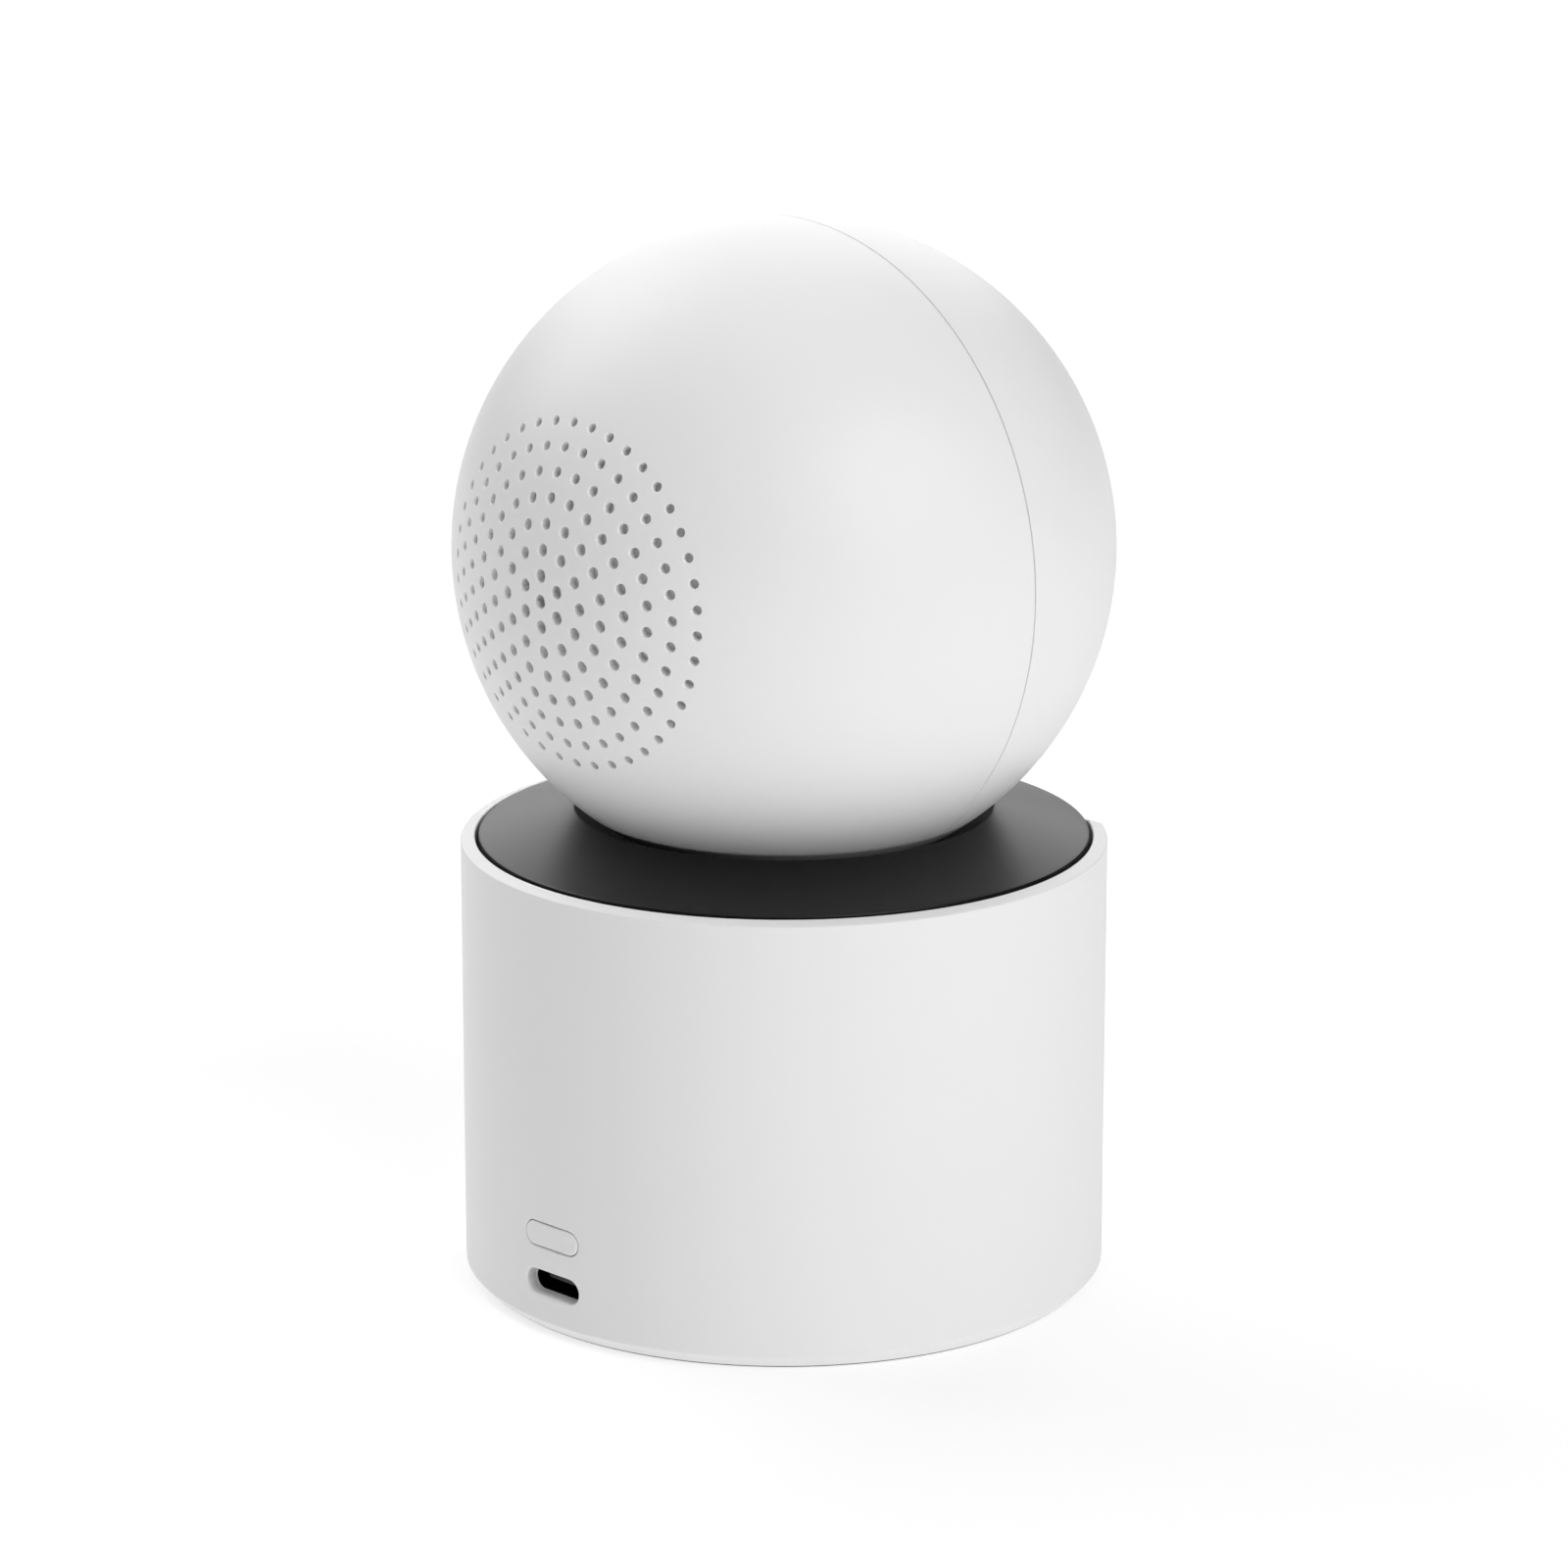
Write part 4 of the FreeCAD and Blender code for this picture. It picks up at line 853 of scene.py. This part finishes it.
lens_ring = weigh_normals(turned("lens_ring_trim", lens_ring_outline(), "y", 160, BALL))
lens_barrel = weigh_normals(turned("lens_barrel_body", barrel_outline(), "y", 128, BALL))
front_lens = turned("front_lens_glass", glass_outline(), "y", 128, BALL)
print("lens pieces", [len(p.data.polygons) for p in (lens_ring, lens_barrel, front_lens)])

# %% [markdown]
# ## Tripod insert
# A brass insert is moulded into the bottom cover. Its quarter-inch thread is a helix, made by
# letting the bore's radius follow a triangle wave that climbs one pitch in each turn.

# %% Tripod insert
insert_low, insert_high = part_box("tripod_insert")
THREAD_PITCH, THREAD_ROOT, THREAD_TIP = 1.27 * MM, 3.17 * MM, 2.55 * MM
BORE_TOP = 7.2 * MM


def insert_outline(turn):
    rows = 60
    bore = []
    for k in range(rows + 1):
        z = BORE_TOP + (insert_low.z - BORE_TOP) * k / rows
        phase = (z / THREAD_PITCH - turn / (2 * math.pi)) % 1.0
        wave = abs(2 * phase - 1)
        fade = min(1.0, (z - insert_low.z) / (0.6 * MM), (BORE_TOP - z) / (0.6 * MM))
        root = THREAD_ROOT if z < BORE_TOP / 2 else THREAD_TIP
        bore.append((THREAD_TIP + (THREAD_ROOT - THREAD_TIP) * wave * fade
                     + (root - THREAD_TIP) * (1 - fade), z))
    out_r = insert_high.x
    shell = [(out_r, insert_low.z)]
    for z in (2.4 * MM, 5.4 * MM):
        shell += [(out_r, z), (3.6 * MM, z), (3.6 * MM, z + 0.8 * MM), (out_r, z + 0.8 * MM)]
    shell += [(out_r, insert_high.z), (0.0, insert_high.z), (0.0, BORE_TOP)]
    return [*bore, *shell]


insert = weigh_normals(turned("tripod_insert_thread", insert_outline, columns=96))
print("tripod insert", len(insert.data.polygons), "faces")

# %% [markdown]
# ## Power receptacle
# The metal shell is a folded pill-shaped tube with rounded edges, and the tongue inside carries
# two rows of twelve contacts. The contacts are one small shape repeated at an even pitch.

# %% Power receptacle
def pill_tube(name, y_front, y_back, half_w, half_h, wall, lip):
    """A pill-shaped tube along Y, open at the front, closed at the back."""
    bm = bmesh.new()
    path = [(0.0, y_back), (0.0, y_front - lip), (-lip * 0.3, y_front - lip * 0.3), (-lip, y_front),
            (lip - wall, y_front), (lip * 0.3 - wall, y_front - lip * 0.3), (-wall, y_front - lip),
            (-wall, y_back + MM)]
    bridge(bm, [pill_ring(bm, half_w + grow, half_h + grow, y, PORT_Z) for grow, y in path])
    return add_object(name, bm)


def rounded_block(name, low, high, edge, segments=3):
    """A closed block with rounded edges."""
    bm = bmesh.new()
    bmesh.ops.create_cube(bm, size=1)
    middle, size = (low + high) / 2, high - low
    bmesh.ops.transform(bm, matrix=Matrix.Translation(middle) @ Matrix.Diagonal((*size, 1)),
                        verts=bm.verts)
    bmesh.ops.bevel(bm, geom=bm.edges[:], offset=edge, segments=segments, affect="EDGES")
    return add_object(name, bm)


def contacts_tree():
    """Two rows of contacts at an even pitch on the tongue's faces, from one block."""
    tree = new_tree("port_contacts", [
        ("Contact", "NodeSocketObject", None), ("Count", "NodeSocketInt", 12),
        ("Pitch", "NodeSocketFloat", 0.0005), ("Start", "NodeSocketVector", None),
        ("Row Height", "NodeSocketFloat", 0.0), ("Material", "NodeSocketMaterial", None)])
    given = tree.nodes.new("NodeGroupInput").outputs
    index = tree.nodes.new("GeometryNodeInputIndex").outputs[0]
    row = maths(tree, "FLOOR", maths(tree, "DIVIDE", index, given["Count"]))
    column = minus(tree, index, times(tree, row, given["Count"]))
    step = put(tree, "ShaderNodeCombineXYZ",
               {"X": times(tree, column, given["Pitch"]), "Y": 0.0,
                "Z": times(tree, row, given["Row Height"])}).outputs[0]
    spot = put(tree, "ShaderNodeVectorMath", {0: step, 1: given["Start"]},
               operation="ADD").outputs[0]
    points = put(tree, "GeometryNodePoints",
                 {"Count": times(tree, given["Count"], 2), "Position": spot})
    contact = put(tree, "GeometryNodeObjectInfo", {"Object": given["Contact"]})
    copies = put(tree, "GeometryNodeInstanceOnPoints",
                 {"Points": points.outputs[0], "Instance": contact.outputs["Geometry"]})
    return end_tree(tree, copies.outputs[0], given["Material"])


tongue_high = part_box("usb_c_tongue")[1]
TONGUE_HALF_X, TONGUE_HALF_Z = 3.35 * MM, 0.35 * MM


def make_contacts(material):
    half_size, pitch, rise = Vector((0.13, 2.0, 0.04)) * MM, 0.5 * MM, 0.02 * MM
    contact = rounded_block("contact", -half_size, half_size, 0.03 * MM, 1)
    piece = bpy.data.objects.new("usb_c_contacts", bpy.data.meshes.new("usb_c_contacts"))
    bpy.context.scene.collection.objects.link(piece)
    start = Vector((-5.5 * pitch, tongue_high.y - 2.4 * MM, PORT_Z - TONGUE_HALF_Z - rise))
    run_tree(piece, contacts_tree(), {
        "Contact": contact, "Count": 12, "Pitch": pitch, "Start": start,
        "Row Height": 2 * (TONGUE_HALF_Z + rise), "Material": material})
    bpy.data.objects.remove(contact)
    return piece


receptacle = pill_tube("usb_c_shell_tube", port_high.y, port_low.y, PORT_HALF_W, 1.6 * MM, 0.3 * MM,
                       0.12 * MM)
tongue = rounded_block("usb_c_tongue_blade",
                       Vector((-TONGUE_HALF_X, port_low.y + MM, PORT_Z - TONGUE_HALF_Z)),
                       Vector((TONGUE_HALF_X, tongue_high.y, PORT_Z + TONGUE_HALF_Z)), 0.12 * MM)
print("receptacle", len(receptacle.data.polygons), "faces")

# %% [markdown]
# ## Shared surface effects
# Real mouldings aren't perfectly even: a spark-eroded mould leaves a fine grain, and the tone
# drifts slightly. These small effects are node groups that several materials share.

# %% Shader groups
def shader_group(name, inputs, outputs):
    group = bpy.data.node_groups.new(name, "ShaderNodeTree")
    for label, kind, value in inputs:
        group.interface.new_socket(label, in_out="INPUT", socket_type=kind).default_value = value
    for label, kind in outputs:
        group.interface.new_socket(label, in_out="OUTPUT", socket_type=kind)
    return group, group.nodes.new("NodeGroupInput").outputs


def object_noise(tree, scale, detail, stretch=(1.0, 1.0, 1.0)):
    """Noise in the object's own coordinates, so that it stays with the piece as it moves."""
    where = tree.nodes.new("ShaderNodeTexCoord").outputs["Object"]
    if stretch != (1.0, 1.0, 1.0):
        where = put(tree, "ShaderNodeMapping", {"Vector": where, "Scale": stretch}).outputs[0]
    return put(tree, "ShaderNodeTexNoise", {"Vector": where, "Scale": scale, "Detail": detail})


def bump(tree, noise, depth):
    return put(tree, "ShaderNodeBump", {"Strength": depth, "Distance": 0.00002,
                                        "Height": noise.outputs[0]}).outputs[0]


def make_grain_group():
    group, given = shader_group("moulded_grain", [
        ("Scale", "NodeSocketFloat", 3500.0), ("Depth", "NodeSocketFloat", 0.1)],
        [("Normal", "NodeSocketVector")])
    noise = object_noise(group, given["Scale"], 3.0)
    put(group, "NodeGroupOutput", {"Normal": bump(group, noise, given["Depth"])})
    return group


def make_drift_group():
    group, given = shader_group("tone_drift", [
        ("Colour", "NodeSocketColor", (0.8, 0.8, 0.8, 1)), ("Amount", "NodeSocketFloat", 0.02),
        ("Scale", "NodeSocketFloat", 40.0)], [("Colour", "NodeSocketColor")])
    noise = object_noise(group, given["Scale"], 2.0)
    low = minus(group, 1.0, given["Amount"])
    factor = plus(group, low, times(group, noise.outputs[0], given["Amount"]))
    shade = put(group, "ShaderNodeVectorMath", {0: given["Colour"], "Scale": factor},
                operation="SCALE")
    put(group, "NodeGroupOutput", {"Colour": shade.outputs[0]})
    return group


def make_brush_group():
    group, given = shader_group("brushed_marks", [
        ("Scale", "NodeSocketFloat", 900.0), ("Depth", "NodeSocketFloat", 0.15),
        ("Roughness", "NodeSocketFloat", 0.3)],
        [("Normal", "NodeSocketVector"), ("Roughness", "NodeSocketFloat")])
    noise = object_noise(group, given["Scale"], 4.0, (0.08, 1.0, 1.0))
    swing = times(group, minus(group, noise.outputs[0], 0.5), 0.2)
    rough = plus(group, given["Roughness"], swing)
    put(group, "NodeGroupOutput", {"Normal": bump(group, noise, given["Depth"]),
                                   "Roughness": rough})
    return group


def make_circuit_group():
    """Tracks as the thin joints of a brick pattern, and pads as dots, on both faces of a board."""
    group, given = shader_group("circuit_marks", [
        ("Mask Colour", "NodeSocketColor", (0.0, 0.1, 0.04, 1)),
        ("Track Colour", "NodeSocketColor", (0.02, 0.2, 0.09, 1)),
        ("Pad Colour", "NodeSocketColor", (0.7, 0.55, 0.25, 1))],
        [("Colour", "NodeSocketColor"), ("Metal", "NodeSocketFloat")])
    where = group.nodes.new("ShaderNodeTexCoord").outputs["Object"]
    flat = put(group, "ShaderNodeMapping",
               {"Vector": where, "Rotation": (math.pi / 2, 0, 0)}).outputs[0]
    tracks = put(group, "ShaderNodeTexBrick",
                 {"Vector": flat, "Color1": (0, 0, 0, 1), "Color2": (0, 0, 0, 1),
                  "Mortar": (1, 1, 1, 1), "Scale": 900.0, "Mortar Size": 0.05,
                  "Brick Width": 2.3, "Row Height": 0.6})
    dots = put(group, "ShaderNodeTexVoronoi", {"Vector": flat, "Scale": 480.0, "Randomness": 1.0},
               voronoi_dimensions="2D")
    pad = maths(group, "LESS_THAN", dots.outputs["Distance"], 0.16)
    lined = put(group, "ShaderNodeMix", {"Factor": tracks.outputs["Color"], 6: given["Mask Colour"],
                                         7: given["Track Colour"]}, data_type="RGBA")
    dotted = put(group, "ShaderNodeMix",
                 {"Factor": pad, 6: lined.outputs[2], 7: given["Pad Colour"]}, data_type="RGBA")
    put(group, "NodeGroupOutput", {"Colour": dotted.outputs[2], "Metal": pad})
    return group


GRAIN, DRIFT = make_grain_group(), make_drift_group()
BRUSH, CIRCUIT = make_brush_group(), make_circuit_group()
print("shader groups", [g.name for g in (GRAIN, DRIFT, BRUSH, CIRCUIT)])

# %% [markdown]
# ## Materials
# One material stands for each of the record's finishes. Most are moulded plastics that differ
# only in colour, gloss and grain; the rest are metals, glass and circuit boards.

# %% Material builders
def new_material(name, **inputs):
    """A material whose Principled shader has constants set by input name."""
    material = bpy.data.materials.new(name)
    material.use_nodes = True
    shader = material.node_tree.nodes["Principled BSDF"]
    for label, value in inputs.items():
        shader.inputs[label.replace("_", " ")].default_value = value
    return material, material.node_tree, shader


def use_group(tree, group, **inputs):
    node = put(tree, "ShaderNodeGroup", node_tree=group)
    for label, value in inputs.items():
        node.inputs[label.replace("_", " ")].default_value = value
    return node


def plastic(name, colour, roughness, grain=0.1, scale=3500.0, drift=0.02, **more):
    """Moulded plastic with a fine grain and a slight drift of tone."""
    material, tree, shader = new_material(name, Roughness=roughness, **more)
    marks = use_group(tree, GRAIN, Scale=scale, Depth=grain)
    tone = use_group(tree, DRIFT, Colour=(*colour, 1), Amount=drift)
    tree.links.new(marks.outputs["Normal"], shader.inputs["Normal"])
    tree.links.new(tone.outputs["Colour"], shader.inputs["Base Color"])
    return material


def metal(name, colour, roughness, marks=0.15, scale=900.0):
    material, tree, shader = new_material(name, Base_Color=(*colour, 1), Metallic=1.0)
    brush = use_group(tree, BRUSH, Scale=scale, Depth=marks, Roughness=roughness)
    tree.links.new(brush.outputs["Normal"], shader.inputs["Normal"])
    tree.links.new(brush.outputs["Roughness"], shader.inputs["Roughness"])
    return material


def glass(name, colour, coating, roughness=0.02):
    """Coated optical glass: clear, with a thin tinted film."""
    material, tree, shader = new_material(
        name, Base_Color=(*colour, 1), Roughness=roughness, IOR=1.52, Transmission_Weight=1.0,
        Coat_Weight=0.6, Coat_Tint=(*coating, 1), Thin_Film_Thickness=420.0, Thin_Film_IOR=1.9)
    drift = use_group(tree, DRIFT, Colour=(*colour, 1), Amount=0.01)
    tree.links.new(drift.outputs["Colour"], shader.inputs["Base Color"])
    return material


def circuit_board():
    material, tree, shader = new_material("solder_mask", Roughness=0.35)
    marks = use_group(tree, CIRCUIT)
    tree.links.new(marks.outputs["Colour"], shader.inputs["Base Color"])
    tree.links.new(marks.outputs["Metal"], shader.inputs["Metallic"])
    return material


# %% Materials by finish
FINISH = {
    "white_shell": plastic("white_moulding", (0.87, 0.87, 0.87), 0.46, 0.05, Subsurface_Weight=0.25,
                           Subsurface_Scale=0.0006, Subsurface_Radius=(1.0, 1.0, 1.0)),
    "white_button": plastic("white_button_moulding", (0.87, 0.87, 0.87), 0.44, 0.05),
    "black_disc": plastic("black_disc_moulding", (0.003, 0.003, 0.0033), 0.34, 0.35, 5200.0,
                          Specular_IOR_Level=0.3),
    "black_window": plastic("black_window_gloss", (0.004, 0.004, 0.005), 0.05, 0.0, Coat_Weight=0.5,
                            Coat_Roughness=0.02),
    "black_trim": plastic("black_trim_satin", (0.012, 0.012, 0.013), 0.33, 0.1),
    "grey_plastic": plastic("grey_cover_moulding", (0.5, 0.5, 0.51), 0.5, 0.2),
    "black_plastic": plastic("black_inner_moulding", (0.035, 0.035, 0.035), 0.4, 0.15),
    "gear_plastic": plastic("natural_gear_plastic", (0.72, 0.69, 0.6), 0.42, 0.05,
                            Subsurface_Weight=0.15, Subsurface_Scale=0.001),
    # Dark rubber; at the ring's edge its colour also paints the contact shadow at the base's foot.
    "foot_rubber": plastic("dark_foot_rubber", (0.05, 0.05, 0.052), 0.75, 0.3),
    "brass": metal("turned_brass", (0.78, 0.56, 0.25), 0.28),
    "steel": metal("bright_steel", (0.62, 0.62, 0.63), 0.25),
    "dark_steel": metal("dark_coated_steel", (0.10, 0.10, 0.105), 0.42),
    "black_steel": metal("black_coated_steel", (0.015, 0.015, 0.016), 0.35, 0.05),
    "motor_can": metal("zinc_coated_can", (0.66, 0.66, 0.66), 0.32),
    "aluminium": metal("extruded_aluminium", (0.78, 0.78, 0.80), 0.34),
    "board": circuit_board(),
    "lens_glass": glass("coated_lens_glass", (0.92, 0.95, 1.0), (0.75, 0.85, 1.0)),
    "filter_glass": glass("infrared_cut_glass", (0.75, 0.35, 0.42), (1.0, 0.6, 0.5)),
    "chip": plastic("moulded_chip", (0.02, 0.02, 0.022), 0.5, 0.25),
    "led_clear": plastic("clear_diode_body", (0.75, 0.75, 0.82), 0.1, 0.0, Transmission_Weight=0.8),
    "light_pipe": plastic("clear_light_pipe", (0.80, 0.86, 0.90), 0.08, 0.0,
                          Transmission_Weight=0.6),
    "cone_paper": plastic("treated_cone", (0.03, 0.03, 0.033), 0.7, 0.5, 2200.0),
    "foam": plastic("closed_cell_foam", (0.04, 0.04, 0.04), 0.9, 0.8, 1800.0),
    "dust_mesh": plastic("fine_dust_mesh", (0.78, 0.78, 0.78), 0.6, 0.4, 6000.0),
    "antenna_foil": plastic("aerial_film", (0.35, 0.19, 0.05), 0.35, 0.05),
    "cable": plastic("cable_jacket", (0.03, 0.03, 0.03), 0.5, 0.1),
}
print(len(FINISH), "finishes")

# %% Cut the grille and place the contacts
drill_grille(rear, FINISH["white_shell"])
contacts = make_contacts(FINISH["brass"])
print("rear shell with grille", len(rear.data.polygons), "faces")

# %% [markdown]
# ## Assembly
# Each made piece rides on its body and stands for its node. Every other node keeps its own
# mesh and gets the finish that the record gives it.

# %% Assembly
def assemble(piece, body, slot, *nodes):
    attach(piece, body)
    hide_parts(*nodes)
    paint(piece, slot)


def paint(piece, slot):
    piece.data.materials.clear()
    piece.data.materials.append(FINISH[slot])


SLOT_OF = {part["node"]: part["material_slot"] for part in frame["record"]["subparts"]}
MADE = {
    "base_shell": (base, "base"), "foot_ring": (foot, "base"), "tripod_insert": (insert, "base"),
    "usb_c_shell": (receptacle, "base"), "usb_c_tongue": (tongue, "base"),
    "reset_button": (button, "reset_button"), "turntable_disc": (disc, "turntable"),
    "front_shell": (front, "head"), "rear_shell": (rear, "head"), "front_window": (window, "head"),
    "lens_ring": (lens_ring, "head"), "lens_barrel": (lens_barrel, "head"),
    "front_lens": (front_lens, "head"),
}
for node, (piece, body) in MADE.items():
    assemble(piece, body, SLOT_OF[node], node)
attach(contacts, "base")
for node, piece in frame["nodes"].items():
    if node not in MADE:
        paint(piece, SLOT_OF[node])
        smooth(piece.data, 30)
print(len(MADE), "pieces made,", len(frame["nodes"]) - len(MADE), "nodes painted")
